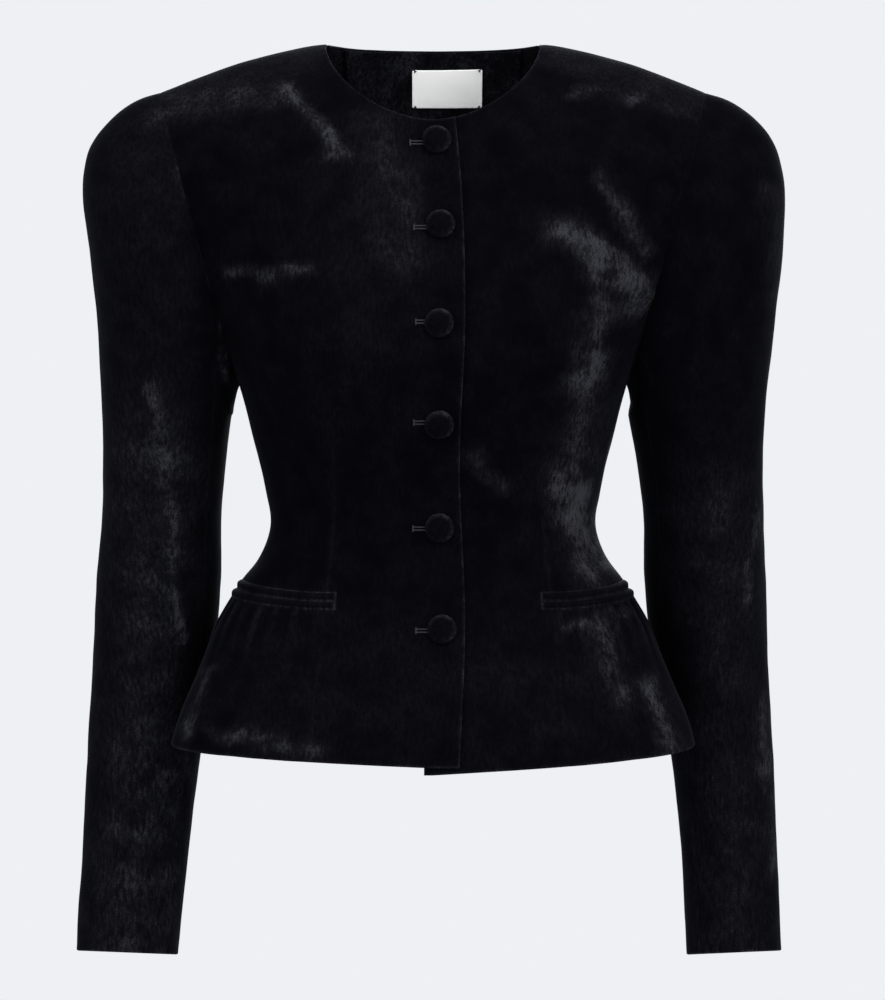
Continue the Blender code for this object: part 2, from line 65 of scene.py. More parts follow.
# Slight waviness of the cloth, with smaller waves on it
UNEVEN_HEIGHT = 0.0007
WAVE_FINENESS = 22
SMALL_WAVE_FINENESS = 60
SMALL_WAVE_OFFSET = Vector((3.1, 5.7, 1.9))
SMALL_WAVE_SHARE = 0.35

# Crushed nap and painted highlights: wear with a painted highlight along edges, wear along seams, and the
# ragged sides of the strokes
EDGE_WEAR_AND_HIGHLIGHT = 0.5
SEAM_WEAR = 0.08
WEAR_AND_HIGHLIGHT_WIDTH = 0.0012
INNER_NAP = 0.4
RAG_FINENESS = 40
RAG_REACH = 0.008
SMALL_RAG_FINENESS = 150
SMALL_RAG_REACH = 0.003

# Neck and shoulder
NECK_POINT_Z = 0.020
NECK_HALF_WIDTH = 0.0835
FRONT_NECK_DROP = 0.067
FRONT_NECK_SPREAD = 1.8
FRONT_NECK_CURVE = 0.6
BACK_NECK_DROP = -0.0025
NECK_RIDGE_RISE = 0.042
NECK_RIDGE_CURVE = 1.5
SHOULDER_HALF_WIDTH = 0.212
SHOULDER_DROP = 0.0375
SHOULDER_CURVE = 1.45
RIDGE_REACH = 1.2
SHOULDER_ROLL = 0.1135

# Armhole, a flat ring that leans inward from the shoulder to the underarm
UNDERARM_HALF_WIDTH = 0.151
UNDERARM_DROP = 0.265
ARMHOLE_MIDDLE = (SHOULDER_DROP + UNDERARM_DROP) / 2
ARMHOLE_HALF_HEIGHT = UNDERARM_DROP - ARMHOLE_MIDDLE
ARMHOLE_HALF_DEPTH = 0.060
ARMHOLE_Y = 0.002

# Bust fullness, from the darts
BUST_FULLNESS = 0.009
BUST_X = 0.085
BUST_DROP = 0.235
BUST_SPREAD = 0.055

# Front closing, where the right front laps over the left
CLOSING_X = 0.0045
LAP_SHIFT = 0.0016
LAP_FLAT = 0.030
LAP_FADE = 0.080
LEFT_EDGE_X = -0.0064

# Hem
HEM_DROP_SIDE = 0.542
HEM_DROP_BACK = 0.549
HEM_DROP_FRONT = {"right": 0.5545, "left": 0.560}

# Pockets, darts and gathers
POCKET_DROP_FRONT = 0.431
POCKET_DROP_SIDE = 0.423
WELT_HEIGHT = 0.0062
POCKET_BAND = WELT_HEIGHT + 1.5 * SEAM_GAP
WELT_ARCH = 0.0019
WELT_ARCH_AT_END = 0.25
WELT_ARCH_RISE = 0.03
WELT_REACH = 0.008
WELT_END = 0.003
# Welts: share of the strokes, painted highlight on the crests, wear and painted highlight along borders
WELT_NAP_AND_HIGHLIGHT_SHARE = 0.4
WELT_CREST_HIGHLIGHT = 0.06
WELT_BORDER_WEAR_AND_HIGHLIGHT = 0.45
WELT_BORDER = 0.22
WELT_END_BORDER = 0.014
GATHERS = 8
GATHER_HEIGHT = {"right": 0.0010, "left": 0.0014}
GATHER_LENGTH = 0.030
GATHER_AT_SEAM = 0.55
GATHER_RISE = 0.004
# Painted highlight on the crests of the gathers
GATHER_HIGHLIGHT = 0.25
DART_DEPTH = 0.0012
DART_HALF_WIDTH = 0.0016
DART_TOP = 0.300
DART_FADE = 0.09
# Crushed nap and a painted highlight along the pressed line of the dart
DART_NAP_AND_HIGHLIGHT = 0.14

# Facing and label inside the back of the neck
LABEL_X = 0.0112
LABEL_HALF_WIDTH = 0.028
LABEL_TOP_DROP = 0.0126
LABEL_BOTTOM_DROP = 0.0412
LABEL_CORNER = 0.0014
FACING_WIDTH = 0.055
STITCH_RADIUS = 0.00035
STITCH_REACH = 0.0022
STITCH_OUTSIDE = 0.4
CORNER_STITCHES = ((1.0, 0.35), (0.7, 0.7), (0.35, 1.0))

# Buttons and buttonholes
BUTTON_SEGMENTS = 64
BUTTON_RIM = 0.0102
BUTTON_RIM_WIDTH = 0.0016
BUTTON_PLEATS = 17
BUTTON_PLEAT_SHARE = 0.012
BUTTON_OVAL_SHARE = 0.008
BUTTON_NAP = 0.04
# Painted highlight on the buttons' rims, weak on the lower side and strong on the upper side
BUTTON_RIM_HIGHLIGHT = (0.10, 0.70)
HOLE_LIP = 0.0011
HOLE_LIP_RADIUS = 0.00065
HOLE_LIP_LIFT = 0.4 * HOLE_LIP_RADIUS
HOLE_LIP_STEPS = 12
HOLE_BAR_HALF = 0.0026
HOLE_BAR_RADIUS = 1.1 * HOLE_LIP_RADIUS
HOLE_BAR_LIFT = 0.5 * HOLE_LIP_RADIUS
HOLE_BAR_STEPS = 6
HOLE_BEAD = 0.0008
BEAD_WAIST = 0.82
BEAD_RINGS = 6

# Sleeves, with their seams as angles from the outer edge towards the front
SLEEVE_FRONT_SEAM = 142
SLEEVE_BACK_SEAM = -105
SLEEVE_SET_OUT = 0.0005
# Share of the crushed nap and painted highlights on the back of a sleeve
SLEEVE_BACK_NAP_AND_HIGHLIGHTS = 0.5

# Fineness: narrow steps along a border, and for a run its number of even steps and rough length
BORDER_STEPS = (0.0005, 0.0011, 0.0022)
PEPLUM_ROWS = (46, 0.12)
WAIST_ROWS = (66, 0.16)
CLOSING_COLUMNS = (40, 0.10)
SIDE_COLUMNS = (46, 0.12)
BACK_NECK_COLUMNS = (34, 0.075)
BACK_SIDE_COLUMNS = (40, 0.13)
PEPLUM_COLUMNS = (128, 0.12)
WELT_ROWS = (9, WELT_HEIGHT)
WELT_COLUMNS = (110, 0.11)
UPPER_SLEEVE_COLUMNS = (108, 0.13)
UNDER_SLEEVE_COLUMNS = (52, 0.13)
FRONT_NECK_RUN = 0.14
SHOULDER_RUN = 0.13
BACK_WAIST_ROWS = 72
STEPS_PER_ARMHOLE_ROW = 8
TOP_STEPS = (0.4, 0.15, 0)
SLEEVE_ROWS = 250
SLEEVE_MIDDLE_STEP = 5
LABEL_ROWS = 26
LABEL_COLUMNS = 48
NECKLINE_STEPS = 20000
ARMHOLE_ANGLES = (180, 165, 150, 135, 120, 108, 96, 82, 68, 54, 40, 26, 12, 0)
NECK_COLUMNS_PAST_DART = 10
FACING_ROW = 10
LOWER_NECK_SHARE = 0.26
FACING_SHARE = 0.86

# Rounds in which the angles and drops of a row settle on each other, and the drop they start from
ROUNDS = 6
UPPER_ROUNDS = 12
FIRST_DROP = 0.5

# Camera and light
CAMERA = (0.0074, -2.8, -0.3349)
CAMERA_LENS = 129.2
FLOOR_Z = -2.6
FLOOR_SIZE = 9.0
BACKGROUND = (0.855, 0.871, 0.905)
LIGHT_AIM = (0, 0, -0.3)


def table(columns, rows):
    """A table as a dictionary of columns."""
    names = columns.split()
    return {name: np.array([row[i] for row in rows]) for i, name in enumerate(names)}


BODY = table("drop front back", [
    (0.000, 0.072, 0.073),
    (0.0375, 0.080, 0.080),
    (0.067, 0.088, 0.088),
    (0.100, 0.096, 0.095),
    (0.150, 0.108, 0.102),
    (0.200, 0.117, 0.105),
    (0.240, 0.121, 0.104),
    (0.265, 0.119, 0.102),
    (0.308, 0.110, 0.096),
    (0.339, 0.101, 0.090),
    (0.3705, 0.095, 0.086),
    (0.402, 0.0975, 0.091),
    (0.433, 0.104, 0.103),
    (0.472, 0.113, 0.118),
    (0.520, 0.1225, 0.133),
    (0.560, 0.1285, 0.142),
])

SIDE = table("drop half_width y", [
    (0.265, 0.1510, 0.002),
    (0.277, 0.1474, 0.001),
    (0.308, 0.1400, 0.000),
    (0.339, 0.1322, 0.000),
    (0.3705, 0.1267, 0.000),
    (0.386, 0.1294, -0.001),
    (0.402, 0.1365, -0.003),
    (0.417, 0.1480, -0.006),
    (0.433, 0.1585, -0.010),
    (0.450, 0.1680, -0.014),
    (0.472, 0.1760, -0.021),
    (0.497, 0.1860, -0.029),
    (0.520, 0.1950, -0.037),
    (0.560, 0.2060, -0.047),
])

RIGHT_EDGE = table("drop x", [
    (0.060, 0.0168),
    (0.120, 0.0220),
    (0.210, 0.0245),
    (0.330, 0.0205),
    (0.445, 0.0245),
    (0.560, 0.0200),
])

DART = table("drop from_closing", [
    (0.250, 0.0820),
    (0.370, 0.0795),
    (0.430, 0.0855),
    (0.560, 0.0980),
])

BUTTONS = table("drop x hole_drop hole_x", [
    (0.0836, 0.003, 0.0855, -0.0170),
    (0.1484, 0.006, 0.1505, -0.0140),
    (0.2232, 0.005, 0.2220, -0.0125),
    (0.2979, 0.005, 0.2970, -0.0140),
    (0.3760, 0.005, 0.3765, -0.0148),
    (0.4522, 0.007, 0.4530, -0.0125),
])

BUTTON_PROFILE = table("radius height", [
    (0.0, 0.0076),
    (0.0018, 0.0075),
    (0.0036, 0.0072),
    (0.0054, 0.0067),
    (0.0072, 0.0060),
    (0.0088, 0.0051),
    (0.0100, 0.0041),
    (0.0107, 0.0032),
    (0.0110, 0.0024),
    (0.0108, 0.0017),
    (0.0102, 0.0012),
    (0.0090, 0.0010),
    (0.0060, 0.0010),
    (0.0034, 0.0010),
    (0.0034, 0.0),
    (0.0, 0.0),
])

SLEEVE = table("outer_drop outer_right outer_left inner_drop inner_right inner_left y half_depth tilt", [
    (0.0415, 0.2262, 0.2262, 0.2658, 0.1515, 0.1515, 0.002, 0.0655, 0),
    (0.0480, 0.2385, 0.2385, 0.2675, 0.1522, 0.1522, 0.002, 0.0690, 0),
    (0.0585, 0.2515, 0.2515, 0.2695, 0.1528, 0.1528, 0.002, 0.0715, 0),
    (0.0720, 0.2630, 0.2630, 0.2720, 0.1534, 0.1534, 0.002, 0.0725, 0),
    (0.0890, 0.2705, 0.2705, 0.2750, 0.1540, 0.1540, 0.003, 0.0722, 0),
    (0.1180, 0.2735, 0.2750, 0.2785, 0.1548, 0.1545, 0.004, 0.0712, 0),
    (0.1600, 0.2680, 0.2732, 0.2820, 0.1556, 0.1540, 0.006, 0.0692, 0),
    (0.2200, 0.2622, 0.2668, 0.2870, 0.1566, 0.1533, 0.009, 0.0660, 0),
    (0.2900, 0.2588, 0.2597, 0.2930, 0.1586, 0.1540, 0.012, 0.0620, 0),
    (0.3300, 0.2593, 0.2592, 0.3310, 0.1635, 0.1610, 0.020, 0.0580, 0),
    (0.3700, 0.2608, 0.2599, 0.3710, 0.1671, 0.1660, 0.028, 0.0550, 0),
    (0.4150, 0.2654, 0.2631, 0.4160, 0.1679, 0.1670, 0.037, 0.0535, 0),
    (0.4600, 0.2685, 0.2648, 0.4610, 0.1714, 0.1720, 0.047, 0.0515, 0),
    (0.5000, 0.2717, 0.2667, 0.5010, 0.1770, 0.1795, 0.053, 0.0490, 0),
    (0.5450, 0.2745, 0.2700, 0.5460, 0.1837, 0.1878, 0.058, 0.0460, 0.0008),
    (0.6200, 0.2787, 0.2733, 0.6210, 0.1937, 0.1965, 0.059, 0.0430, 0.0028),
    (0.7132, 0.2836, 0.2768, 0.7165, 0.2029, 0.2018, 0.054, 0.0410, 0.0052),
])

# Soft folds as ridges, or valleys where the height is negative, along a line from one place to another
FRONT_FOLDS = table("x drop to_x to_drop width height", [
    (0.126, 0.118, 0.163, 0.165, 0.0060, 0.0022),
    (0.116, 0.156, 0.163, 0.197, 0.0075, 0.0026),
    (0.121, 0.142, 0.163, 0.181, 0.0055, -0.0016),
    (0.105, 0.205, 0.150, 0.222, 0.0060, 0.0014),
    (-0.112, 0.042, -0.072, 0.092, 0.0055, 0.0016),
    (-0.098, 0.044, -0.062, 0.084, 0.0045, -0.0010),
    (-0.152, 0.183, -0.096, 0.185, 0.0050, 0.0018),
    (-0.152, 0.194, -0.100, 0.197, 0.0060, -0.0012),
    (-0.146, 0.215, -0.118, 0.262, 0.0060, 0.0014),
    (0.060, 0.395, 0.110, 0.372, 0.0070, 0.0010),
    (-0.104, 0.392, -0.050, 0.372, 0.0070, 0.0009),
    (0.030, 0.320, 0.055, 0.350, 0.0065, 0.0012),
    (0.128, 0.470, 0.150, 0.545, 0.0090, 0.0026),
    (0.100, 0.468, 0.112, 0.550, 0.0090, -0.0018),
    (-0.128, 0.470, -0.150, 0.545, 0.0100, 0.0022),
    (-0.100, 0.468, -0.110, 0.548, 0.0090, -0.0014),
])

BACK_FOLDS = table("x drop to_x to_drop width height", [
    (sign * x, drop, sign * to_x, to_drop, width, height)
    for x, drop, to_x, to_drop, width, height in (
        (0.060, 0.362, 0.120, 0.352, 0.0070, 0.0014),
        (0.050, 0.385, 0.115, 0.378, 0.0065, -0.0012),
        (0.145, 0.150, 0.110, 0.240, 0.0080, 0.0018),
        (0.060, 0.450, 0.078, 0.545, 0.0130, 0.0026),
        (0.120, 0.455, 0.150, 0.540, 0.0120, 0.0024),
    )
    for sign in (1, -1)
])

SLEEVE_FOLDS = table("x drop to_x to_drop width height", [
    (-0.214, 0.275, -0.203, 0.335, 0.0070, 0.0018),
    (-0.206, 0.335, -0.196, 0.470, 0.0075, 0.0020),
    (-0.166, 0.190, -0.158, 0.265, 0.0050, 0.0016),
    (-0.174, 0.215, -0.168, 0.290, 0.0060, -0.0014),
    (-0.194, 0.090, -0.188, 0.118, 0.0040, 0.0012),
    (-0.235, 0.400, -0.180, 0.372, 0.0080, 0.0016),
    (-0.240, 0.440, -0.188, 0.418, 0.0080, -0.0012),
    (0.252, 0.360, 0.247, 0.440, 0.0080, 0.0016),
    (0.166, 0.195, 0.158, 0.262, 0.0055, 0.0014),
    (0.238, 0.395, 0.182, 0.374, 0.0080, 0.0016),
    (0.240, 0.438, 0.190, 0.420, 0.0080, -0.0012),
    (0.210, 0.560, 0.232, 0.640, 0.0100, 0.0016),
    (-0.206, 0.560, -0.230, 0.640, 0.0100, 0.0016),
])

# Crushed nap and painted highlights, both lighter, in strokes from one place to another. On the front
# and the sleeves many strokes are painted highlights along the ridges of folds and over the shoulders.
FRONT_NAP_AND_HIGHLIGHTS = table("x drop to_x to_drop width strength", [
    (-0.200, 0.052, -0.112, 0.044, 0.0110, 0.40),
    (-0.112, 0.042, -0.072, 0.092, 0.0055, 0.85),
    (-0.152, 0.183, -0.096, 0.185, 0.0055, 0.50),
    (-0.040, 0.075, -0.020, 0.170, 0.0190, 0.26),
    (0.100, 0.152, 0.158, 0.196, 0.0120, 0.85),
    (0.122, 0.165, 0.152, 0.200, 0.0130, 0.45),
    (0.124, 0.112, 0.162, 0.165, 0.0055, 0.50),
    (0.128, 0.212, 0.112, 0.262, 0.0115, 0.65),
    (0.123, 0.250, 0.106, 0.350, 0.0165, 0.50),
    (0.102, 0.350, 0.124, 0.405, 0.0155, 0.80),
    (0.128, 0.455, 0.139, 0.500, 0.0080, 0.65),
    (0.166, 0.500, 0.181, 0.540, 0.0090, 0.70),
    (0.104, 0.448, 0.150, 0.440, 0.0040, 0.40),
    (-0.165, 0.530, -0.090, 0.540, 0.0060, 0.55),
    (-0.168, 0.480, -0.186, 0.535, 0.0040, 0.50),
    (0.030, 0.320, 0.052, 0.346, 0.0060, 0.35),
    (-0.100, 0.500, 0.120, 0.500, 0.0500, 0.08),
    (-0.050, 0.100, -0.060, 0.250, 0.0400, 0.08),
    (-0.205, 0.042, -0.100, 0.012, 0.0130, 0.18),
    (0.205, 0.042, 0.095, 0.012, 0.0130, 0.22),
    (0.103, 0.0484, 0.124, 0.0390, 0.0035, 0.45),
    (0.151, 0.0490, 0.162, 0.0412, 0.0040, 0.45),
    (0.124, 0.0390, 0.195, 0.0560, 0.0060, 0.18),
])

SLEEVE_NAP_AND_HIGHLIGHTS = table("x drop to_x to_drop width strength", [
    (-0.214, 0.272, -0.206, 0.340, 0.0045, 0.38),
    (-0.206, 0.340, -0.196, 0.465, 0.0040, 0.45),
    (-0.166, 0.190, -0.157, 0.262, 0.0030, 0.50),
    (-0.194, 0.090, -0.188, 0.118, 0.0035, 0.45),
    (-0.212, 0.055, -0.170, 0.045, 0.0110, 0.35),
    (0.250, 0.360, 0.246, 0.430, 0.0060, 0.40),
    (0.262, 0.510, 0.268, 0.650, 0.0065, 0.50),
    (0.262, 0.120, 0.266, 0.200, 0.0080, 0.25),
    (-0.192, 0.560, -0.186, 0.600, 0.0050, 0.30),
    (-0.215, 0.330, -0.232, 0.700, 0.0400, 0.34),
    (-0.225, 0.100, -0.215, 0.300, 0.0400, 0.12),
    (0.220, 0.360, 0.235, 0.700, 0.0360, 0.25),
    (-0.226, 0.570, -0.238, 0.700, 0.0350, 0.10),
])

BACK_NAP = table("x drop to_x to_drop width strength", [
    (-0.145, 0.060, -0.080, 0.110, 0.0140, 0.45),
    (0.150, 0.120, 0.120, 0.220, 0.0150, 0.50),
    (-0.120, 0.250, -0.100, 0.330, 0.0130, 0.50),
    (0.070, 0.300, 0.085, 0.380, 0.0130, 0.45),
    (-0.090, 0.450, -0.120, 0.530, 0.0120, 0.55),
    (0.140, 0.470, 0.165, 0.535, 0.0110, 0.60),
])


def smooth(keys, values, at):
    """Values on a smooth curve through a table's rows, with no overshoot between rows."""
    at = np.clip(at, keys[0], keys[-1])
    steps = np.diff(keys)
    slopes = np.diff(values) / steps
    tangents = np.concatenate([slopes[:1], (slopes[:-1] + slopes[1:]) / 2, slopes[-1:]])
    turning = slopes[:-1] * slopes[1:] <= 0
    tangents[1:-1][turning] = 0
    row = np.clip(np.searchsorted(keys, at, side="right") - 1, 0, len(steps) - 1)
    t = (at - keys[row]) / steps[row]
    rise = values[row] * (1 + 2 * t) * (1 - t) ** 2 + values[row + 1] * t ** 2 * (3 - 2 * t)
    bend = tangents[row] * t * (1 - t) ** 2 - tangents[row + 1] * t ** 2 * (1 - t)
    return rise + bend * steps[row]


def ease(start, end, at):
    """0 before start, 1 after end and a smooth rise between them."""
    t = np.clip((at - start) / (end - start), 0, 1)
    return t * t * (3 - 2 * t)


def blend(first, last, share):
    return first + (last - first) * share


def half_width(drop):
    """Half width of the body: the armhole's lean above the underarm, the side seam below it."""
    down = np.clip((drop - SHOULDER_DROP) / (UNDERARM_DROP - SHOULDER_DROP), 0, 1)
    armhole = blend(SHOULDER_HALF_WIDTH, UNDERARM_HALF_WIDTH, down)
    return np.where(drop < UNDERARM_DROP, armhole, smooth(SIDE["drop"], SIDE["half_width"], drop))


def centre_y(drop):
    """Depth of the line from side to side that front and back swell out from."""
    return np.where(drop < UNDERARM_DROP, ARMHOLE_Y, smooth(SIDE["drop"], SIDE["y"], drop))


def swell(drop, face):
    """How far the middle of the front or back stands out from the line from side to side."""
    return smooth(BODY["drop"], BODY["front" if face < 0 else "back"], drop) - face * centre_y(drop)


def end_angle(drop, face):
    """Angle where the front or back ends, at the armhole above the underarm and the side seam below."""
    down = np.clip((drop - ARMHOLE_MIDDLE) / ARMHOLE_HALF_HEIGHT, 0, 1)
    return np.arccos(ARMHOLE_HALF_DEPTH * np.sqrt(1 - down ** 2) / swell(drop, face))


def ridge_drop(x):
    """Drop of the shoulder ridge at a distance from the centre line."""
    x = np.abs(x)
    outside = np.clip((x - NECK_HALF_WIDTH) / (SHOULDER_HALF_WIDTH - NECK_HALF_WIDTH), 0, RIDGE_REACH)
    inside = np.clip(1 - (x / NECK_HALF_WIDTH) ** 2, 0, 1)
    return SHOULDER_DROP * outside ** SHOULDER_CURVE - NECK_RIDGE_RISE * inside ** NECK_RIDGE_CURVE


def body_point(angle, drop, face):
    """Point of the body's outer face. Face -1 is the front, 1 the back; angle runs from its middle out."""
    x = half_width(drop) * np.sin(angle) / np.sin(end_angle(drop, face))
    y = centre_y(drop) + face * swell(drop, face) * np.cos(angle)
    if face < 0:
        spread = ((np.abs(x) - BUST_X) ** 2 + (drop - BUST_DROP) ** 2) / BUST_SPREAD ** 2
        y = y - BUST_FULLNESS * np.exp(-spread) * np.cos(angle).clip(0) ** 0.5
    rise = np.clip(1 - (drop - ridge_drop(x)) / SHOULDER_ROLL, 0, 1)
    y = y * np.sqrt(1 - rise ** 2) + face * SEAM_GAP / 2
    return np.stack([x, y, NECK_POINT_Z - drop], axis=-1)


def front_point(angle, drop, side):
    """Point of a front, which stands proud or sits back where the two fronts lap."""
    point = body_point(angle, drop, -1)
    lapped = 1 - ease(LAP_FLAT, LAP_FADE, np.abs(point[..., 0]))
    point[..., 1] += LAP_SHIFT * lapped * SIGN[side]
    return point


def angle_at(x, drop, face=-1):
    return np.arcsin(np.clip(x * np.sin(end_angle(drop, face)) / half_width(drop), -1, 1))


def mirrored(points, side):
    return points * [SIGN[side], 1, 1]


def bordered(count, length, first=True, last=True):
    """Shares from 0 to 1: even steps, with narrow ones along a border at the first or last end."""
    narrow = np.array(BORDER_STEPS) / length
    shares = np.linspace(narrow[-1] if first else 0, 1 - narrow[-1] if last else 1, count)
    before = np.concatenate([[0], narrow[:-1]]) if first else []
    after = np.concatenate([1 - narrow[-2::-1], [1]]) if last else []
    return np.concatenate([before, shares, after])


def normals(points):
    """Normals of a grid of points, on the side that columns and then rows turn to."""
    normal = np.cross(np.gradient(points, axis=1), np.gradient(points, axis=0))
    return normal / np.linalg.norm(normal, axis=-1, keepdims=True).clip(1e-12)


def strokes(points, rows, column):
    """Sum of a table's strokes at points: each is widest in its middle and fades to its sides and ends."""
    x = points[..., 0]
    drop = NECK_POINT_Z - points[..., 2]
    total = np.zeros(x.shape)
    for i in range(len(rows["x"])):
        run = np.array([rows["to_x"][i] - rows["x"][i], rows["to_drop"][i] - rows["drop"][i]])
        length = np.linalg.norm(run)
        off = np.stack([x - rows["x"][i], drop - rows["drop"][i]], axis=-1)
        along = off @ run / length ** 2
        across = (off[..., 0] * run[1] - off[..., 1] * run[0]) / length
        past = np.maximum(0, np.abs(along - 0.5) - 0.5) * length
        fade = np.exp(-(across ** 2 + past ** 2) / rows["width"][i] ** 2)
        total += rows[column][i] * fade
    return total


def crushed_nap_and_highlights(points, rows):
    """Share of crushed nap and painted highlight at points: a table's strokes, with ragged sides."""
    moved = [noise.noise_vector(Vector(p) * RAG_FINENESS) * RAG_REACH
             + noise.noise_vector(Vector(p) * SMALL_RAG_FINENESS) * SMALL_RAG_REACH
             for p in points.reshape(-1, 3)]
    return strokes(points + np.array(moved).reshape(points.shape), rows, "strength")


def unevenness(points):
    """Heights of the slight waviness of sewn cloth, the same for pieces that meet."""
    flat = points.reshape(-1, 3)
    broad = [noise.noise(Vector(p) * WAVE_FINENESS) for p in flat]
    small = [noise.noise(Vector(p) * SMALL_WAVE_FINENESS + SMALL_WAVE_OFFSET) for p in flat]
    waves = np.array(broad) + SMALL_WAVE_SHARE * np.array(small)
    return UNEVEN_HEIGHT * waves.reshape(points.shape[:2])


def border_distance(points, chosen):
    """Distance of each point from the nearest chosen one."""
    tree = kdtree.KDTree(int(chosen.sum()))
    for i, place in enumerate(points[chosen]):
        tree.insert(place, i)
    tree.balance()
    found = [tree.find(place)[2] for place in points.reshape(-1, 3)]
    return np.array(found).reshape(points.shape[:2])


def rolled(distance, radius):
    """How far a rounded border falls away at a distance from its edge."""
    inside = np.clip(1 - distance / radius, 0, 1)
    return radius * (1 - np.sqrt(1 - inside ** 2))


def kept_border(kept):
    """Points of a grid that lie on the border of its kept cells."""
    rows, columns = kept.shape
    around = np.zeros((rows + 2, columns + 2), dtype=int)
    around[1:-1, 1:-1] = kept
    cells = around[:-1, :-1] + around[1:, :-1] + around[:-1, 1:] + around[1:, 1:]
    return (cells > 0) & (cells < 4)


def outward(points, kept):
    """Directions from the kept cells of a grid out over their border."""
    centres = (points[:-1, :-1] + points[1:, :-1] + points[:-1, 1:] + points[1:, 1:]) / 4
    total = np.zeros_like(points)
    count = np.zeros(points.shape[:2])
    for row in (slice(0, -1), slice(1, None)):
        for column in (slice(0, -1), slice(1, None)):
            total[row, column] += centres * kept[..., None]
            count[row, column] += kept
    away = points - total / count.clip(1)[..., None]
    return away / np.linalg.norm(away, axis=-1, keepdims=True).clip(1e-12)


def wall_faces(kept, flip):
    """Faces of a wall over a grid's kept cells: outer ones, inner ones and the rim between them."""
    rows, columns = kept.shape[0] + 1, kept.shape[1] + 1
    index = np.arange(rows * columns).reshape(rows, columns)
    corners = np.stack([index[:-1, :-1], index[:-1, 1:], index[1:, 1:], index[1:, :-1]], axis=-1)
    outer = corners[kept]
    if flip:
        outer = outer[:, ::-1]
    start = outer.ravel()
    end = np.roll(outer, -1, axis=1).ravel()
    key = start * index.size + end
    alone = ~np.isin(key, end * index.size + start)
    start, end = start[alone], end[alone]
    rim = np.stack([end, start, start + index.size, end + index.size], axis=-1)
    return outer, outer[:, ::-1] + index.size, rim


def no_points(points):
    """Marks for a grid's points, with none marked yet."""
    return np.zeros(points.shape[:2], dtype=bool)


def add_piece(name, points, faces, looks, place=Matrix()):
    """A smooth piece at a place, which rides on the jacket's one body."""
    mesh = bpy.data.meshes.new(name)
    mesh.from_pydata(np.array(points).tolist(), [], faces)
    mesh.shade_smooth()
    for look in looks:
        mesh.materials.append(LOOKS[look])
    piece = bpy.data.objects.new(name, mesh)
    piece.matrix_world = place
    bpy.context.scene.collection.objects.link(piece)
    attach(piece, BODY_NAME)
    return piece


def add_nap_and_highlight(piece, share):
    """Gives a piece's points their share of crushed nap and painted highlight, which the velvet's look
    reads.
    """
    attribute = piece.data.attributes.new("nap_and_highlight", "FLOAT", "POINT")
    attribute.data.foreach_set("value", share.astype(np.float32))


def cloth(node, points, free=None, kept=None, relief=0, nap_and_highlight=0, thickness=CLOTH,
          toward=None, looks=("velvet", "lining"), faced=None, roll=EDGE_ROLL):
    """A cloth piece that stands for a node: a wall over a grid of points, with rounded borders.

    Free marks the points on a border that is an edge of the jacket and no seam, faced those with the
    outer look on the inner side too. Relief is the height of folds, nap the share of crushed pile and
    painted highlight, and toward the line that the piece's inner side faces. At a seam the cloth runs
    on a little, so that no light shows through.
    """
    rows, columns = points.shape[:2]
    kept = np.ones((rows - 1, columns - 1), dtype=bool) if kept is None else kept
    toward = np.zeros(3) if toward is None else toward
    normal = normals(points)
    flip = np.sum(normal * (points - toward) * [1, 1, 0]) < 0
    normal = -normal if flip else normal
    border = kept_border(kept)
    free = no_points(points) if free is None else free & border
    seam = border & ~free
    fall = np.zeros((rows, columns))
    worn_and_highlit = np.zeros((rows, columns))
    # Wear along seams, and wear with a painted highlight along free edges, lighten the nap near a border
    for chosen, radius, wear_and_highlight in ((free, roll, EDGE_WEAR_AND_HIGHLIGHT), (seam, SEAM_ROLL, SEAM_WEAR)):
        if chosen.any():
            distance = border_distance(points, chosen)
            fall = np.maximum(fall, rolled(distance, radius))
            worn_and_highlit = np.maximum(worn_and_highlit, wear_and_highlight * np.exp(-(distance / WEAR_AND_HIGHLIGHT_WIDTH) ** 2))
    raised = points + normal * np.expand_dims(relief + unevenness(points), -1)
    raised[seam] += SEAM_REACH * outward(points, kept)[seam]
    outer = raised - normal * fall[..., None]
    inner = raised - normal * thickness
    outside, inside, rim = wall_faces(kept, flip)
    used, faces = np.unique(np.concatenate([outside, inside, rim]), return_inverse=True)
    faces = faces.reshape(-1, 4)
    everything = np.concatenate([outer.reshape(-1, 3), inner.reshape(-1, 3)])[used]
    piece = add_piece(f"{node}_cloth", everything, faces.tolist(), looks)
    side = np.zeros(len(faces), dtype=np.int32)
    lined = ~(no_points(points) if faced is None else faced)
    side[len(outside):len(outside) + len(inside)] = (len(looks) - 1) * lined[:-1, :-1][kept]
    piece.data.polygons.foreach_set("material_index", side)
    # Outer points carry crushed nap, wear and painted highlights; inner points an even share of nap
    share = np.concatenate([np.clip(nap_and_highlight + worn_and_highlit, 0, 1).ravel(), np.full(rows * columns, INNER_NAP)])
    add_nap_and_highlight(piece, share[used])
    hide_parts(node)
    return piece


def pocket_line(angle, dart_angle):
    """Drop of the slit between the two welts, which rises from the dart to the side."""
    return blend(POCKET_DROP_FRONT, POCKET_DROP_SIDE, ease(dart_angle, math.pi / 2, angle))


def dart_x(drop, side):
    """Distance of the dart and of the seam below it, towards the piece's own side."""
    return SIGN[side] * CLOSING_X + smooth(DART["drop"], DART["from_closing"], drop)


def front_edge_x(drop, side):
    """Place of the front edge, towards the piece's own side, so negative past the centre line."""
    if side == "left":
        return np.full_like(drop, LEFT_EDGE_X)
    return -smooth(RIGHT_EDGE["drop"], RIGHT_EDGE["x"], drop)


def back_neckline(x):
    """Drop of the back neckline."""
    return BACK_NECK_DROP * np.sqrt(1 - (x / NECK_HALF_WIDTH) ** 2)


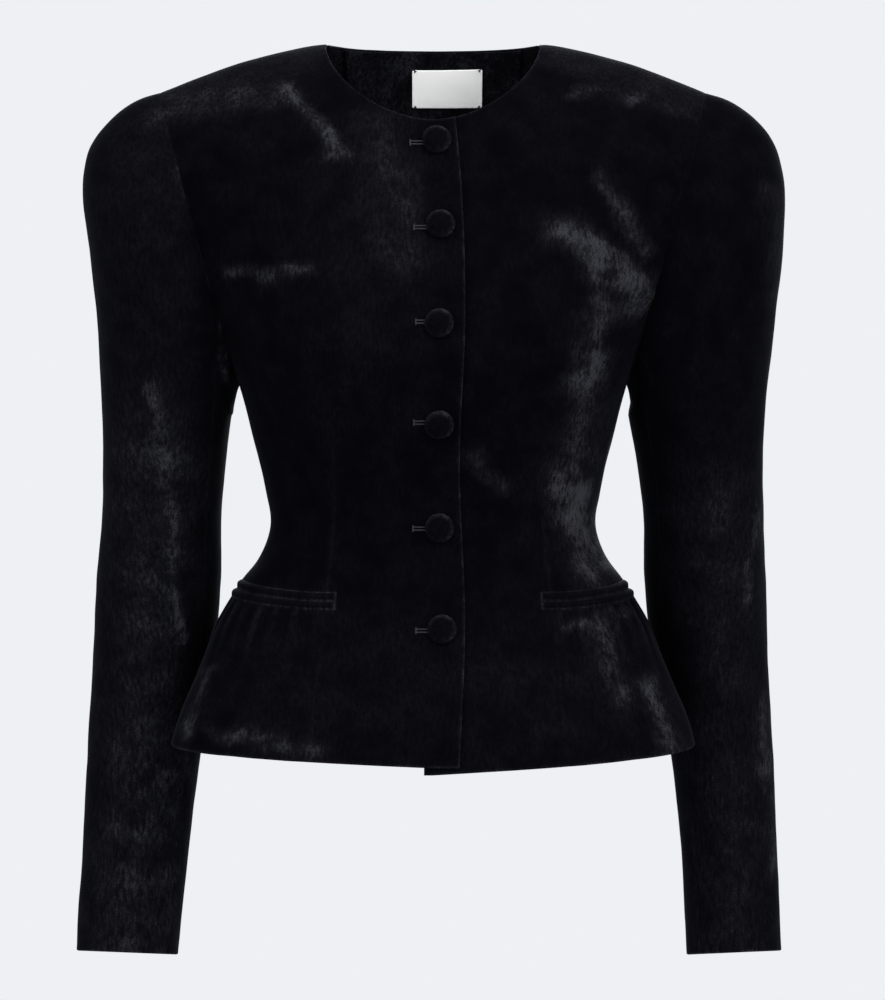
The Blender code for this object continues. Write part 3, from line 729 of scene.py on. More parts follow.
def hem_line(angle, side):
    return blend(HEM_DROP_FRONT[side], HEM_DROP_SIDE, np.clip(angle / (math.pi / 2), 0, 1))


def upper_heights():
    """Heights of the rows above the underarm, as shares of the way up, with narrow steps at the top."""
    count = (len(ARMHOLE_ANGLES) - 1) * STEPS_PER_ARMHOLE_ROW
    return np.concatenate([np.arange(count), count - np.array(TOP_STEPS)]) / count


def lower_front(side):
    """Angles and drops of a front's rows from the hem to the underarm.

    Returns with them the last row below the pocket, and the columns of the welts' ends and the dart.
    """
    to_welt = bordered(*CLOSING_COLUMNS, last=False)
    to_dart = 1 - np.array(BORDER_STEPS[::-1]) / WELT_REACH
    to_side = bordered(*SIDE_COLUMNS)
    welt_column = len(to_welt) - 1
    dart_column = welt_column + len(to_dart) + 1
    peplum_rows = bordered(*PEPLUM_ROWS)
    waist_rows = bordered(*WAIST_ROWS, last=False)
    angles = []
    drops = []
    for row in range(len(peplum_rows) + len(waist_rows)):
        drop = np.full(dart_column + len(to_side), FIRST_DROP)
        for _ in range(ROUNDS):
            dart = angle_at(dart_x(drop[dart_column], side), drop[dart_column])
            welt_end = angle_at(dart_x(drop[welt_column], side) - WELT_REACH, drop[welt_column])
            edge = angle_at(front_edge_x(drop[:1], side), drop[:1])[0]
            angle = np.concatenate([
                blend(edge, welt_end, to_welt),
                blend(welt_end, dart, to_dart),
                blend(dart, math.pi / 2, to_side),
            ])
            pocket = pocket_line(angle, dart)
            if row < len(peplum_rows):
                drop = blend(hem_line(angle, side), pocket + POCKET_BAND, peplum_rows[row])
            else:
                share = waist_rows[row - len(peplum_rows)]
                drop = blend(pocket - POCKET_BAND, UNDERARM_DROP, share)
        angles.append(angle)
        drops.append(drop)
    return np.array(angles), np.array(drops), len(peplum_rows) - 1, welt_column, dart_column


def front_neckline(side, shares):
    """Places and drops along a front neckline, at shares of its length from the front edge."""
    corner = front_edge_x(np.array([FRONT_NECK_DROP]), side)[0]
    turn = np.linspace(math.asin(corner / NECK_HALF_WIDTH), math.pi / 2, NECKLINE_STEPS)
    x = NECK_HALF_WIDTH * np.sin(turn)
    fall = (1 - np.abs(x / NECK_HALF_WIDTH) ** FRONT_NECK_SPREAD).clip(0)
    drop = FRONT_NECK_DROP * fall ** FRONT_NECK_CURVE
    steps = np.linalg.norm(np.diff(body_point(angle_at(x, drop), drop, -1), axis=0), axis=1)
    lengths = np.concatenate([[0], np.cumsum(steps)])
    at = shares * lengths[-1]
    return np.interp(at, lengths, x), np.interp(at, lengths, drop)


def upper_rows(shares, start_angles, start_drops, top_shares, neckline_under, face):
    """Angles and drops from the underarm to the shoulder, between a middle edge and the armhole."""
    heights = upper_heights()
    places = np.arange(len(ARMHOLE_ANGLES)) / (len(ARMHOLE_ANGLES) - 1)
    around = np.radians(np.interp(heights, places, ARMHOLE_ANGLES))
    armhole_drops = ARMHOLE_MIDDLE - ARMHOLE_HALF_HEIGHT * np.cos(around)
    start_under = start_drops - ridge_drop(body_point(start_angles, start_drops, face)[:, 0])
    end_under = armhole_drops - ridge_drop(half_width(armhole_drops))
    angles = []
    drops = []
    for row, height in list(enumerate(heights))[1:]:
        share = blend(shares, top_shares, height)
        first_angle = blend(start_angles[0], math.pi / 2, share)
        first_under = UNDERARM_DROP - ridge_drop(UNDERARM_HALF_WIDTH * np.sin(first_angle))
        sag = first_under - blend(start_under[0], end_under[0], share)
        crown = neckline_under(share) - blend(start_under[-1], end_under[-1], share)
        under = blend(start_under[row], end_under[row], share)
        under = (under + sag * (1 - height) ** 2 + crown * height ** 2).clip(0)
        drop = under
        for _ in range(UPPER_ROUNDS):
            angle = blend(start_angles[row], end_angle(drop, face), share)
            drop = ridge_drop(body_point(angle, drop, face)[:, 0]) + under
        angles.append(angle)
        drops.append(drop)
    return np.array(angles), np.array(drops)


def dart_groove(points, side):
    """Depth of the pressed line of the dart above the pocket."""
    drop = NECK_POINT_Z - points[..., 2]
    own_x = points[..., 0] * SIGN[side]
    line = np.exp(-((own_x - dart_x(drop, side)) / DART_HALF_WIDTH) ** 2)
    return DART_DEPTH * line * ease(DART_TOP, DART_TOP + DART_FADE, drop) * (drop < POCKET_DROP_FRONT)


def front(side):
    """One front: shoulder to hem at the closing, and to the pocket at the side."""
    angles, drops, below, welt_column, dart_column = lower_front(side)
    shares = (angles[-1] - angles[-1][0]) / (math.pi / 2 - angles[-1][0])
    neck_column = dart_column + NECK_COLUMNS_PAST_DART
    shoulder = bordered(len(shares) - neck_column - len(BORDER_STEPS), SHOULDER_RUN, first=False)[1:]
    neck = bordered(neck_column + 1 - len(BORDER_STEPS), FRONT_NECK_RUN, last=False)
    neck_x, neck_drops = front_neckline(side, neck)
    neck_angles = angle_at(neck_x, neck_drops)
    neck_shares = (neck_angles - neck_angles[0]) / (end_angle(neck_drops, -1) - neck_angles[0])
    top_shares = np.concatenate([neck_shares, blend(neck_shares[-1], 1, shoulder)])
    top_under = np.concatenate([neck_drops - ridge_drop(neck_x), np.zeros_like(shoulder)])

    def neckline_under(share):
        return np.interp(share, top_shares, top_under)

    start_drops = blend(UNDERARM_DROP, neck_drops[0], upper_heights())
    start_angles = angle_at(front_edge_x(start_drops, side), start_drops)
    top = upper_rows(shares, start_angles, start_drops, top_shares, neckline_under, -1)
    angles = np.concatenate([angles, top[0]])
    drops = np.concatenate([drops, top[1]])
    points = mirrored(front_point(angles, drops, side), side)
    kept = np.ones((points.shape[0] - 1, points.shape[1] - 1), dtype=bool)
    kept[:below, dart_column:] = False
    kept[below, welt_column:] = False
    free = no_points(points)
    free[:, 0] = True
    free[-1, :neck_column] = True
    faced = border_distance(points, free) < FACING_WIDTH
    free[0] = True
    groove = dart_groove(points, side)
    relief = strokes(points, FRONT_FOLDS, "height") - groove
    # Crushed nap and painted highlights from the strokes, and crushed nap with a painted highlight along
    # the dart
    nap_and_highlight = crushed_nap_and_highlights(points, FRONT_NAP_AND_HIGHLIGHTS) + DART_NAP_AND_HIGHLIGHT * groove / DART_DEPTH
    name = f"front_{side}"
    cloth(name, points, free=free, kept=kept, relief=relief, nap_and_highlight=nap_and_highlight, faced=faced)


def back_points():
    """Rows of a back, from the hem up to the neckline and from the centre-back seam to the side."""
    neck = bordered(*BACK_NECK_COLUMNS, last=False)
    side = bordered(*BACK_SIDE_COLUMNS, first=False)[1:]
    columns = np.concatenate([neck * LOWER_NECK_SHARE, blend(LOWER_NECK_SHARE, 1, side)])
    angle = columns * math.pi / 2
    hem = blend(HEM_DROP_BACK, HEM_DROP_SIDE, columns)
    angles = []
    drops = []
    for share in bordered(*PEPLUM_ROWS, last=False):
        angles.append(angle)
        drops.append(blend(hem, POCKET_DROP_SIDE + POCKET_BAND, share))
    for drop in np.linspace(POCKET_DROP_SIDE - POCKET_BAND, UNDERARM_DROP, BACK_WAIST_ROWS):
        angles.append(angle)
        drops.append(np.full_like(angle, drop))
    start_drops = blend(UNDERARM_DROP, BACK_NECK_DROP, upper_heights())
    neck_share = angle_at(NECK_HALF_WIDTH, 0.0, 1) / end_angle(0.0, 1)
    top_shares = np.concatenate([neck * neck_share, blend(neck_share, 1, side)])

    def neckline_under(share):
        x = NECK_HALF_WIDTH * (share / neck_share).clip(0, 1)
        return back_neckline(x) - ridge_drop(x)

    top = upper_rows(columns, np.zeros_like(start_drops), start_drops, top_shares, neckline_under, 1)
    angles = np.concatenate([np.array(angles), top[0]])
    drops = np.concatenate([np.array(drops), top[1]])
    points = body_point(angles, drops, 1)
    points[..., 0] += SEAM_GAP / 2
    return points, len(neck) - 1


def back(side):
    """One back, from the centre-back seam to the side seam and armhole."""
    points, neck_column = back_points()
    points = mirrored(points, side)
    free = no_points(points)
    free[-1, :neck_column] = True
    faced = border_distance(points, free) < FACING_WIDTH
    free[0] = True
    relief = strokes(points, BACK_FOLDS, "height")
    nap_and_highlight = crushed_nap_and_highlights(points, BACK_NAP)
    cloth(f"back_{side}", points, free=free, relief=relief, nap_and_highlight=nap_and_highlight, faced=faced)


def gathers(columns, below, side):
    """Heights of the small folds below the pocket, each with its own depth and length."""
    place = columns * GATHERS
    fold = np.floor(place)
    depth = 0.75 + 0.35 * np.sin(2.4 * fold + 0.6)
    length = GATHER_LENGTH * (0.8 + 0.5 * np.sin(1.7 * fold + 2.0) ** 2)
    wave = np.sin(2 * math.pi * place) * depth * np.sin(math.pi * columns) ** 0.5
    flattened = blend(GATHER_AT_SEAM, 1, ease(0, GATHER_RISE, below))
    return GATHER_HEIGHT[side] * wave * np.exp(-(below / length) ** 2) * flattened


def peplum(side):
    """Side piece of the peplum, gathered into the seam below the pocket."""
    columns = bordered(*PEPLUM_COLUMNS)
    points = []
    waves = []
    for share in bordered(*PEPLUM_ROWS):
        drop = np.full_like(columns, FIRST_DROP)
        for _ in range(ROUNDS):
            dart = angle_at(dart_x(drop[0], side) + SEAM_GAP, drop[0])
            angle = blend(dart, math.pi / 2, columns)
            top = pocket_line(angle, dart) + POCKET_BAND
            drop = blend(hem_line(angle, side), top, share)
        points.append(front_point(angle, drop, side))
        waves.append(gathers(columns, drop - top, side))
    points = mirrored(np.array(points), side)
    waves = np.array(waves)
    free = no_points(points)
    free[0] = True
    relief = strokes(points, FRONT_FOLDS, "height") + waves
    # Crushed nap and painted highlights from the strokes, and a painted highlight on each gather's crest
    nap_and_highlight = crushed_nap_and_highlights(points, FRONT_NAP_AND_HIGHLIGHTS) + GATHER_HIGHLIGHT * (waves / GATHER_HEIGHT[side]).clip(0)
    name = f"peplum_{side}"
    cloth(name, points, free=free, relief=relief, nap_and_highlight=nap_and_highlight)


def welts(side):
    """The two folded strips that fill the pocket slit."""
    columns = bordered(*WELT_COLUMNS)
    arch = bordered(*WELT_ROWS)
    for name, direction in (("upper", -1), ("lower", 1)):
        points = []
        for share in arch:
            drop = np.full_like(columns, POCKET_DROP_FRONT)
            for _ in range(ROUNDS):
                dart = angle_at(dart_x(drop[0], side), drop[0])
                start = angle_at(dart_x(drop[0], side) - WELT_REACH + SEAM_GAP, drop[0])
                angle = blend(start, math.pi / 2 - WELT_END, columns)
                drop = pocket_line(angle, dart) + direction * (SEAM_GAP / 2 + WELT_HEIGHT * share)
            points.append(front_point(angle, drop, side))
        points = mirrored(np.array(points), side)
        risen = blend(WELT_ARCH_AT_END, 1, ease(0, WELT_ARCH_RISE, columns))
        crest = np.sin(math.pi * arch)[:, None] * risen
        relief = strokes(points, FRONT_FOLDS, "height") + WELT_ARCH * crest
        from_border = np.minimum(arch, 1 - arch)[:, None]
        rubbed_and_highlit = 1 - np.minimum(ease(0, WELT_BORDER, from_border), ease(0, WELT_END_BORDER, columns))
        # Crushed nap and painted highlights from the strokes, and a painted highlight on the crest of the
        # arch
        nap_and_highlight = WELT_NAP_AND_HIGHLIGHT_SHARE * crushed_nap_and_highlights(points, FRONT_NAP_AND_HIGHLIGHTS) + WELT_CREST_HIGHLIGHT * crest ** 4
        # Wear and a painted highlight along the welt's borders and at its end near the dart
        nap_and_highlight += WELT_BORDER_WEAR_AND_HIGHLIGHT * rubbed_and_highlit
        cloth(f"welt_{name}_{side}", points, relief=relief, nap_and_highlight=nap_and_highlight)


def sleeve_rings(side, angles):
    """Rings of a sleeve at angles around it, from the armhole seam to the cuff."""
    armhole_drop = ARMHOLE_MIDDLE - ARMHOLE_HALF_HEIGHT * np.cos(angles)
    front_seam = body_point(end_angle(armhole_drop, -1), armhole_drop, -1)
    back_seam = body_point(end_angle(armhole_drop, 1), armhole_drop, 1)
    seam = np.where(np.sin(angles)[:, None] >= 0, front_seam, back_seam)
    lean = Vector((UNDERARM_DROP - SHOULDER_DROP, 0, UNDERARM_HALF_WIDTH - SHOULDER_HALF_WIDTH))
    rings = [seam + np.array(lean.normalized()) * SLEEVE_SET_OUT]
    for row in range(len(SLEEVE["y"])):
        outer = np.array([SLEEVE[f"outer_{side}"][row], 0, NECK_POINT_Z - SLEEVE["outer_drop"][row]])
        inner = np.array([SLEEVE[f"inner_{side}"][row], 0, NECK_POINT_Z - SLEEVE["inner_drop"][row]])
        ring = (outer + inner) / 2 + (outer - inner) / 2 * np.cos(angles)[:, None]
        ring[:, 1] = SLEEVE["y"][row] - SLEEVE["half_depth"][row] * np.sin(angles)
        ring[:, 2] += SLEEVE["tilt"][row] * np.sin(angles)
        rings.append(ring)
    return np.array(rings)


def finer_rings(rings, count):
    """Rings on a smooth surface through a sleeve's rings, an even step apart along it."""
    keys = np.arange(len(rings))
    middles = rings.mean(axis=1)
    lengths = np.concatenate([[0], np.cumsum(np.linalg.norm(np.diff(middles, axis=0), axis=1))])
    places = np.interp(bordered(count, lengths[-1]) * lengths[-1], lengths, keys)
    row = np.clip(places.astype(int), 0, len(rings) - 2)
    t = (places - row)[:, None, None]
    slopes = np.gradient(rings, axis=0)
    first = rings[row] * (1 + 2 * t) * (1 - t) ** 2 + slopes[row] * t * (1 - t) ** 2
    return first + rings[row + 1] * t ** 2 * (3 - 2 * t) - slopes[row + 1] * t ** 2 * (1 - t)


def sleeve(side):
    """The upper and under pieces of one sleeve."""
    gap = math.degrees(SEAM_GAP / 2 / ARMHOLE_HALF_DEPTH)
    around = np.radians(np.arange(0, 360, SLEEVE_MIDDLE_STEP))
    middles = mirrored(finer_rings(sleeve_rings(side, around), SLEEVE_ROWS).mean(axis=1), side)[:, None]
    for name, first, last, columns in (
        ("upper", SLEEVE_BACK_SEAM + gap, SLEEVE_FRONT_SEAM - gap, UPPER_SLEEVE_COLUMNS),
        ("under", SLEEVE_FRONT_SEAM + gap, SLEEVE_BACK_SEAM + 360 - gap, UNDER_SLEEVE_COLUMNS),
    ):
        angles = np.radians(blend(first, last, bordered(*columns)))
        points = mirrored(finer_rings(sleeve_rings(side, angles), SLEEVE_ROWS), side)
        facing_front = np.clip(np.sin(angles) * 2, 0, 1)
        facing_back = np.clip(-np.sin(angles) * 2, 0, 1)
        relief = strokes(points, SLEEVE_FOLDS, "height") * (facing_front + facing_back)
        # Crushed nap and painted highlights from the strokes, weaker on the back of the sleeve
        nap_and_highlight = crushed_nap_and_highlights(points, SLEEVE_NAP_AND_HIGHLIGHTS) * (facing_front + SLEEVE_BACK_NAP_AND_HIGHLIGHTS * facing_back)
        free = no_points(points)
        free[-1] = True
        cloth(f"{name}_sleeve_{side}", points, free=free, relief=relief, nap_and_highlight=nap_and_highlight,
              toward=middles)


def moved_in(points, distance):
    """Points of a grid moved to its inner side. Rows run up and columns towards the wearer's left."""
    return points + normals(points) * distance


def on_grid(points, rows, columns):
    """Points of a grid at rows and columns that may fall between its own."""
    low_row = np.floor(rows).astype(int).clip(0, points.shape[0] - 2)
    low_column = np.floor(columns).astype(int).clip(0, points.shape[1] - 2)
    down = (rows - low_row)[..., None]
    across = (columns - low_column)[..., None]
    first = blend(points[low_row, low_column], points[low_row, low_column + 1], across)
    second = blend(points[low_row + 1, low_column], points[low_row + 1, low_column + 1], across)
    return blend(first, second, down)


def back_neck_facing():
    """Band inside the back of the neck, laid on the backs' own points. Returns its points."""
    own, neck_column = back_points()
    backs = np.concatenate([mirrored(own, "right")[:, ::-1], own[:, 1:]], axis=1)
    middle = own.shape[1] - 1
    reach = round(neck_column * FACING_SHARE)
    last = own.shape[0] - 1
    first = last - (len(ARMHOLE_ANGLES) - 1 - FACING_ROW) * STEPS_PER_ARMHOLE_ROW
    points = moved_in(backs, CLOTH + 2 * SEAM_GAP)[first:last, middle - reach:middle + reach + 1]
    free = ~no_points(points)
    cloth("back_neck_facing", points, free=free, thickness=FACING_CLOTH, looks=("velvet",),
          roll=FACING_ROLL)
    return points


def label(facing):
    """Blank label on the facing's inner side, with rounded corners. Returns its points."""
    inner = moved_in(facing, FACING_CLOTH + 2 * SEAM_GAP)
    x = inner[facing.shape[0] // 2, :, 0]
    tall = LABEL_BOTTOM_DROP - LABEL_TOP_DROP
    up = bordered(LABEL_ROWS, tall) * tall
    across = bordered(LABEL_COLUMNS, 2 * LABEL_HALF_WIDTH) * 2 - 1
    corner = np.clip(1 - np.minimum(up, tall - up) / LABEL_CORNER, 0, 1)
    half = LABEL_HALF_WIDTH - LABEL_CORNER * (1 - np.sqrt(1 - corner ** 2))
    at_x = LABEL_X + half[:, None] * across
    at_z = NECK_POINT_Z - LABEL_BOTTOM_DROP + up
    columns = np.interp(at_x, x, np.arange(len(x)))
    rows = np.zeros_like(columns)
    all_rows = np.arange(facing.shape[0])
    for place in np.ndindex(columns.shape):
        heights = on_grid(inner, all_rows, np.full(len(all_rows), columns[place]))[:, 2]
        rows[place] = np.interp(at_z[place[0]], heights, all_rows)
    points = on_grid(inner, rows, columns)
    free = ~no_points(points)
    cloth("label", points, free=free, thickness=LABEL_CLOTH, looks=("label",),
          roll=LABEL_ROLL)
    return points


def label_stitches(points):
    """Black stitches that hold the label by its corners."""
    seen = moved_in(points, LABEL_CLOTH)
    parts = []
    for row in (0, -1):
        for column in (0, -1):
            corner = blend(points[row, column], seen[row, column], 0.5)
            along = seen[row, -1 - column] - seen[row, column]
            up = seen[-1 - row, column] - seen[row, column]
            along *= STITCH_REACH / np.linalg.norm(along)
            up *= STITCH_REACH / np.linalg.norm(up)
            for across, rise in CORNER_STITCHES:
                inside = seen[row, column] + along * across + up * rise
                outside = corner - along * STITCH_OUTSIDE * across - up * STITCH_OUTSIDE * rise
                path = np.array([outside, blend(outside, inside, STITCH_OUTSIDE), inside])
                parts.append(beaded(path, STITCH_RADIUS, STITCH_REACH))
    join_parts("label_stitches", parts, "thread")


def add_lights():
    """Soft studio light: a large key from the upper right, a fill, one from above and one from behind."""
    for name, place, size, power in (
        ("key", (1.9, -2.0, 0.9), 1.8, 80),
        ("fill", (-2.1, -1.9, 0.5), 2.0, 46),
        ("top", (0.0, -0.6, 2.3), 2.0, 56),
        ("rear", (0.3, 2.6, 0.8), 2.0, 110),
    ):
        light = bpy.data.lights.new(name, "AREA")
        light.energy = power
        light.size = size
        lamp = bpy.data.objects.new(name, light)
        lamp.location = place
        aim = Vector(LIGHT_AIM) - lamp.location
        lamp.rotation_mode = "QUATERNION"
        lamp.rotation_quaternion = aim.to_track_quat("-Z", "Y")
        bpy.context.scene.collection.objects.link(lamp)


def add_world():
    world = bpy.data.worlds.new("studio")
    world.use_nodes = True
    world.node_tree.nodes["Background"].inputs["Color"].default_value = (*BACKGROUND, 1)
    bpy.context.scene.world = world
    bpy.context.scene.view_settings.view_transform = "Standard"


def add_camera():
    """Camera level with the waist, where the photograph was taken from."""
    lens = bpy.data.cameras.new("camera")
    lens.lens = CAMERA_LENS
    camera = bpy.data.objects.new("camera", lens)
    camera.location = CAMERA
    camera.rotation_euler = (math.pi / 2, 0, 0)
    bpy.context.scene.collection.objects.link(camera)
    bpy.context.scene.camera = camera


def add_floor():
    bpy.ops.mesh.primitive_grid_add(x_subdivisions=8, y_subdivisions=8, size=FLOOR_SIZE)
    floor = bpy.context.object
    floor.name = "floor"
    floor.location.z = FLOOR_Z
    floor.data.materials.append(LOOKS["floor"])


class Shader:
    """A material's nodes, with short calls to add and link them."""

    def __init__(self, name):
        self.material = bpy.data.materials.new(name)
        self.material.use_nodes = True
        self.tree = self.material.node_tree
        self.surface = self.tree.nodes["Principled BSDF"]

    def node(self, kind, **values):
        made = self.tree.nodes.new(kind)
        for name, value in values.items():
            if name in made.inputs:
                self.put(value, made.inputs[name])
            else:
                setattr(made, name, value)
        return made

    def put(self, value, socket):
        if isinstance(value, bpy.types.NodeSocket):
            self.tree.links.new(value, socket)
        else:
            socket.default_value = value

    def set(self, **values):
        for name, value in values.items():
            self.put(value, self.surface.inputs[name.replace("_", " ")])

    def noise(self, scale, detail, stretch=(1, 1, 1)):
        """Noise in metres, finer for a larger scale, squeezed or drawn out along the axes."""
        place = self.node("ShaderNodeTexCoord").outputs["Object"]
        mapped = self.node("ShaderNodeMapping", Vector=place, Scale=stretch).outputs["Vector"]
        return self.node("ShaderNodeTexNoise", Vector=mapped, Scale=scale, Detail=detail).outputs["Fac"]

    def math(self, operation, *values):
        made = self.node("ShaderNodeMath", operation=operation)
        for value, socket in zip(values, made.inputs):
            self.put(value, socket)
        return made.outputs[0]

    def ramp(self, factor, low, high, first=0.0, last=1.0):
        """A number that goes from first to last as a factor goes from low to high."""
        made = self.node("ShaderNodeMapRange", Value=factor)
        for name, value in (("From Min", low), ("From Max", high), ("To Min", first), ("To Max", last)):
            made.inputs[name].default_value = value
        return made.outputs[0]

    def colours(self, factor, *stops):
        """A colour from stops of place and colour."""
        made = self.node("ShaderNodeValToRGB", Fac=factor)
        elements = made.color_ramp.elements
        for i, (place, colour) in enumerate(stops):
            element = elements[i] if i < 2 else elements.new(place)
            element.position = place
            element.color = (*colour, 1)
        return made.outputs["Color"]

    def bump(self, height, strength, distance, over=None):
        made = self.node("ShaderNodeBump", Height=height, Strength=strength, Distance=distance)
        if over is not None:
            self.put(over, made.inputs["Normal"])
        return made.outputs["Normal"]


def velvet():
    """Black velvet: soft pile, bluish bloom, mottled, lighter with crushed nap and painted highlights."""
    look = Shader("velvet")
    nap_and_highlight = look.node("ShaderNodeAttribute", attribute_name="nap_and_highlight").outputs["Fac"]
    cloudy = look.ramp(look.noise(48, 5), 0.36, 0.66)
    streaky = look.noise(420, 3, (1, 1, 0.35))
    pile = look.noise(1300, 2)
    light_streaks = look.ramp(streaky, 0.32, 0.68, 0.4, 1.4)
    fibres = look.math("MULTIPLY", light_streaks, look.ramp(pile, 0.3, 0.7, 0.35, 1.6))
    clouds = look.math("SUBTRACT", cloudy, 0.5)
    mottling = look.math("MULTIPLY", clouds, look.ramp(nap_and_highlight, 0.2, 0.6, 0.25, 0.9))
    # Lighter patches where the attribute holds crushed nap and painted highlights
    patches = look.math("MULTIPLY", nap_and_highlight, look.math("ADD", mottling, 0.76))
    bloom = look.math("MULTIPLY", cloudy, 0.07)
    light = look.math("MULTIPLY", look.math("ADD", patches, bloom), fibres)
    colour = look.colours(
        light,
        (0.0, (0.0008, 0.0008, 0.0014)),
        (0.3, (0.0040, 0.0040, 0.0054)),
        (1.0, (0.0200, 0.0203, 0.0245)),
    )
    look.set(Base_Color=colour, Roughness=look.ramp(light, 0, 1, 0.95, 0.7))
    look.surface.inputs["Specular IOR Level"].default_value = 0.008
    look.surface.inputs["Sheen Weight"].default_value = 0.02
    look.surface.inputs["Sheen Roughness"].default_value = 0.32
    look.surface.inputs["Sheen Tint"].default_value = (0.72, 0.76, 1.0, 1)
    streaks = look.bump(streaky, 0.2, 0.0005)
    look.set(Normal=look.bump(pile, 0.25, 0.0003, streaks))
    return look.material


def lining():
    """Plain black lining of the hidden inner side, with a fine twill."""
    look = Shader("lining")
    weave = look.noise(900, 2, (1, 1, 0.3))
    colour = look.colours(weave, (0.3, (0.0020, 0.0020, 0.0028)), (0.7, (0.0045, 0.0045, 0.0058)))
    look.set(Base_Color=colour, Roughness=look.ramp(weave, 0.3, 0.7, 0.5, 0.7))
    look.set(Normal=look.bump(weave, 0.2, 0.0002))
    look.surface.inputs["Specular IOR Level"].default_value = 0.08
    return look.material


def thread():
    """Black silk thread, a little lighter than the velvet, with its twist."""
    look = Shader("thread")
    twist = look.noise(1500, 2)
    look.set(Base_Color=look.colours(twist, (0.3, (0.004, 0.004, 0.006)), (0.7, (0.016, 0.016, 0.020))))
    look.set(Roughness=look.ramp(twist, 0.3, 0.7, 0.45, 0.65))
    look.surface.inputs["Specular IOR Level"].default_value = 0.15
    return look.material


def label_weave():
    """White woven tape with a fine satin weave."""
    look = Shader("label")
    across = look.noise(1400, 2, (0.3, 1, 1))
    soft = look.noise(60, 2)
    shade = look.math("ADD", look.ramp(across, 0.3, 0.7, 0, 0.6), look.ramp(soft, 0.3, 0.7, 0, 0.4))
    look.set(Base_Color=look.colours(shade, (0.0, (0.91, 0.905, 0.89)), (1.0, (0.96, 0.957, 0.945))))
    look.set(Roughness=look.ramp(across, 0.3, 0.7, 0.6, 0.75), Normal=look.bump(across, 0.25, 0.0002))
    return look.material


def floor_paint():
    """Pale, matt studio floor."""
    look = Shader("floor")
    faint = look.noise(3, 3)
    look.set(Base_Color=look.colours(faint, (0.3, (0.80, 0.81, 0.84)), (0.7, (0.84, 0.85, 0.88))))
    look.set(Roughness=look.ramp(faint, 0.3, 0.7, 0.75, 0.9))
    return look.material


LOOKS = {
    "velvet": velvet(),
    "lining": lining(),
    "thread": thread(),
    "label": label_weave(),
    "floor": floor_paint(),
}


def button_seat(drop, x, lift):
    """Place on the right front's outer face at x, moved out, and the direction out of the cloth."""
    step = 0.0005
    drops = np.array([drop, drop, drop + step])
    angles = angle_at(np.array([-x, -x - step, -x]), drops)
    place, beside, below = mirrored(front_point(angles, drops, "right"), "right")
    out = Vector(np.cross(beside - place, below - place)).normalized()
    if out.y > 0:
        out = -out
    return Vector(place) + out * lift, out


def turned(profile_radius, profile_height, segments):
    """Points and faces of a profile turned around the z axis, which starts and ends on it."""
    turn = np.arange(segments) / segments * 2 * math.pi
    ring = np.stack([np.cos(turn), np.sin(turn)], axis=-1)
    points = [(0, 0, profile_height[0])]
    for radius, height in zip(profile_radius[1:-1], profile_height[1:-1]):
        points.extend([(radius * x, radius * y, height) for x, y in ring])
    points.append((0, 0, profile_height[-1]))
    rings = len(profile_radius) - 2
    faces = []
    for i in range(segments):
        j = (i + 1) % segments
        faces.append((0, 1 + i, 1 + j))
        for r in range(rings - 1):
            a = 1 + r * segments
            b = a + segments
            faces.append((a + i, b + i, b + j, a + j))
        a = 1 + (rings - 1) * segments
        faces.append((a + i, len(points) - 1, a + j))
    return np.array(points), faces


def buttons():
    """Domed buttons covered with the velvet, whose cover is drawn tight over the rim."""
    points, faces = turned(BUTTON_PROFILE["radius"], BUTTON_PROFILE["height"], BUTTON_SEGMENTS)
    radius = np.linalg.norm(points[:, :2], axis=1)
    around = np.arctan2(points[:, 1], points[:, 0])
    edge = np.exp(-((radius - BUTTON_RIM) / BUTTON_RIM_WIDTH) ** 2)
    # Even crushed nap, with a painted highlight on the rim that is strongest on its upper side
    upper = 0.5 + 0.5 * np.sin(around + 0.6)
    nap_and_highlight = BUTTON_NAP + edge * blend(*BUTTON_RIM_HIGHLIGHT, upper)
    for number, (drop, x) in enumerate(zip(BUTTONS["drop"], BUTTONS["x"]), start=1):
        pleats = 1 + BUTTON_PLEAT_SHARE * edge * np.sin(BUTTON_PLEATS * around + number)
        pleats += BUTTON_OVAL_SHARE * np.sin(2 * around + 2 * number)
        pleated = points * np.stack([pleats, pleats, np.ones_like(pleats)], axis=-1)
        seat, out = button_seat(drop, x, SEAM_GAP)
        place = Matrix.LocRotScale(seat, out.to_track_quat("Z", "Y"), None)
        piece = add_piece(f"button_{number}_cover", pleated, faces, ["velvet"], place)
        add_nap_and_highlight(piece, nap_and_highlight)
        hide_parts(f"button_{number}")


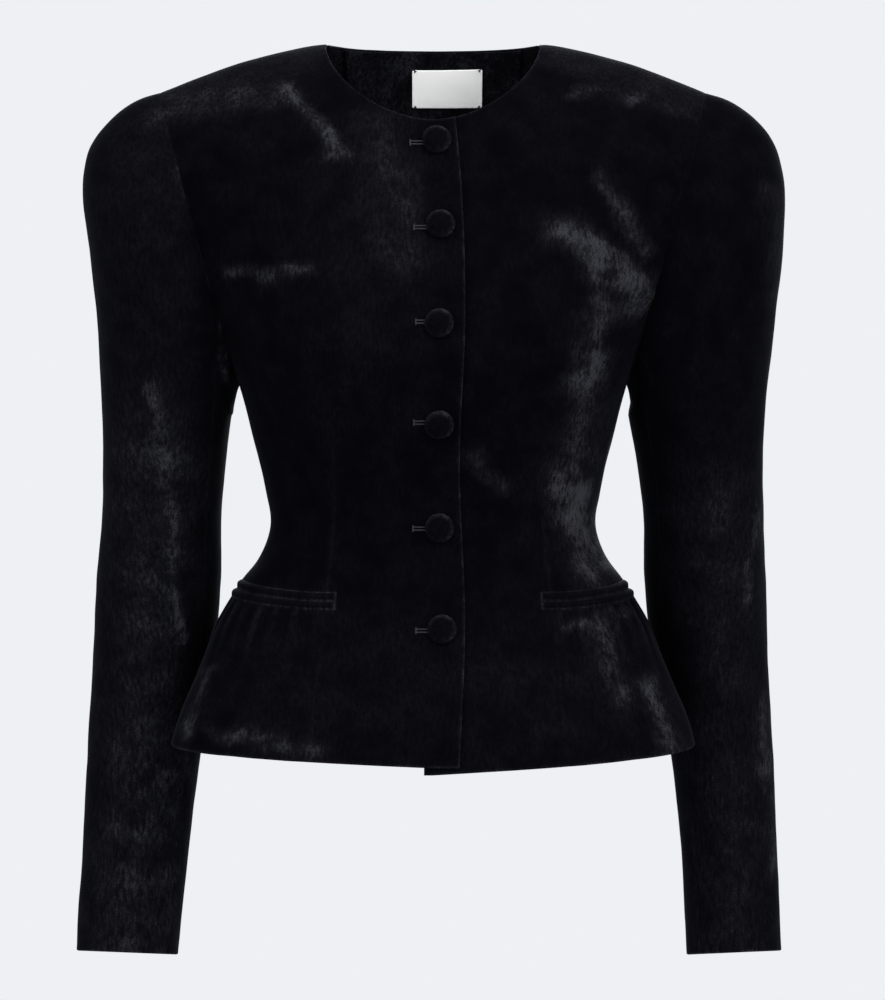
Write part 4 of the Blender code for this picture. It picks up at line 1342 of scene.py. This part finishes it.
def beaded(path, radius, bead, sides=10):
    """Points and faces of a row of close thread stitches: a tube along a path that swells at each."""
    steps = np.diff(path, axis=0)
    lengths = np.concatenate([[0], np.cumsum(np.linalg.norm(steps, axis=1))])
    count = max(8, round(lengths[-1] / bead) * BEAD_RINGS)
    at = np.linspace(0, lengths[-1], count)
    middle = np.stack([np.interp(at, lengths, path[:, i]) for i in range(3)], axis=-1)
    along = np.gradient(middle, axis=0)
    along /= np.linalg.norm(along, axis=1, keepdims=True)
    side = np.cross(along, [0, 1, 0])
    side /= np.linalg.norm(side, axis=1, keepdims=True)
    out = np.cross(side, along)
    ends = np.minimum(1, np.minimum(at, lengths[-1] - at) / radius + 0.15)
    swelling = blend(BEAD_WAIST, 1, np.abs(np.sin(math.pi * at / bead)))
    thick = radius * swelling * np.sqrt(1 - (1 - ends) ** 2)
    turn = np.arange(sides) / sides * 2 * math.pi
    ring = side[:, None] * np.cos(turn)[:, None] + out[:, None] * np.sin(turn)[:, None]
    points = (middle[:, None] + ring * thick[:, None, None]).reshape(-1, 3)
    faces = []
    for r in range(count - 1):
        for i in range(sides):
            j = (i + 1) % sides
            faces.append((r * sides + i, r * sides + j, (r + 1) * sides + j, (r + 1) * sides + i))
    caps = [tuple(range(sides))[::-1], tuple(range((count - 1) * sides, count * sides))]
    return points, faces + caps


def join_parts(name, parts, look):
    """One piece from several parts of points and faces."""
    points = []
    faces = []
    for part_points, part_faces in parts:
        faces.extend([tuple(i + len(points) for i in face) for face in part_faces])
        points.extend(part_points)
    return add_piece(name, points, faces, [look])


def buttonholes():
    """Thread-worked buttonholes: two rows of close stitches and a bar across the outer end."""
    for number in range(len(BUTTONS["drop"])):
        drop = BUTTONS["hole_drop"][number]
        start = BUTTONS["hole_x"][number]
        end = BUTTONS["x"][number]
        parts = []
        for lip in (-HOLE_LIP, HOLE_LIP):
            path = [button_seat(drop + lip, x, HOLE_LIP_LIFT)[0]
                    for x in np.linspace(start, end, HOLE_LIP_STEPS)]
            parts.append(beaded(np.array(path), HOLE_LIP_RADIUS, HOLE_BEAD))
        bar = [button_seat(drop + off, start, HOLE_BAR_LIFT)[0]
               for off in np.linspace(-HOLE_BAR_HALF, HOLE_BAR_HALF, HOLE_BAR_STEPS)]
        parts.append(beaded(np.array(bar), HOLE_BAR_RADIUS, HOLE_BEAD))
        join_parts(f"buttonhole_{number + 1}", parts, "thread")


def build():
    for side in ("right", "left"):
        front(side)
        peplum(side)
        back(side)
        sleeve(side)
        welts(side)
    label_stitches(label(back_neck_facing()))
    buttons()
    buttonholes()
    add_lights()
    add_world()
    add_camera()
    add_floor()


noise.seed_set(NOISE_SEED)
build()
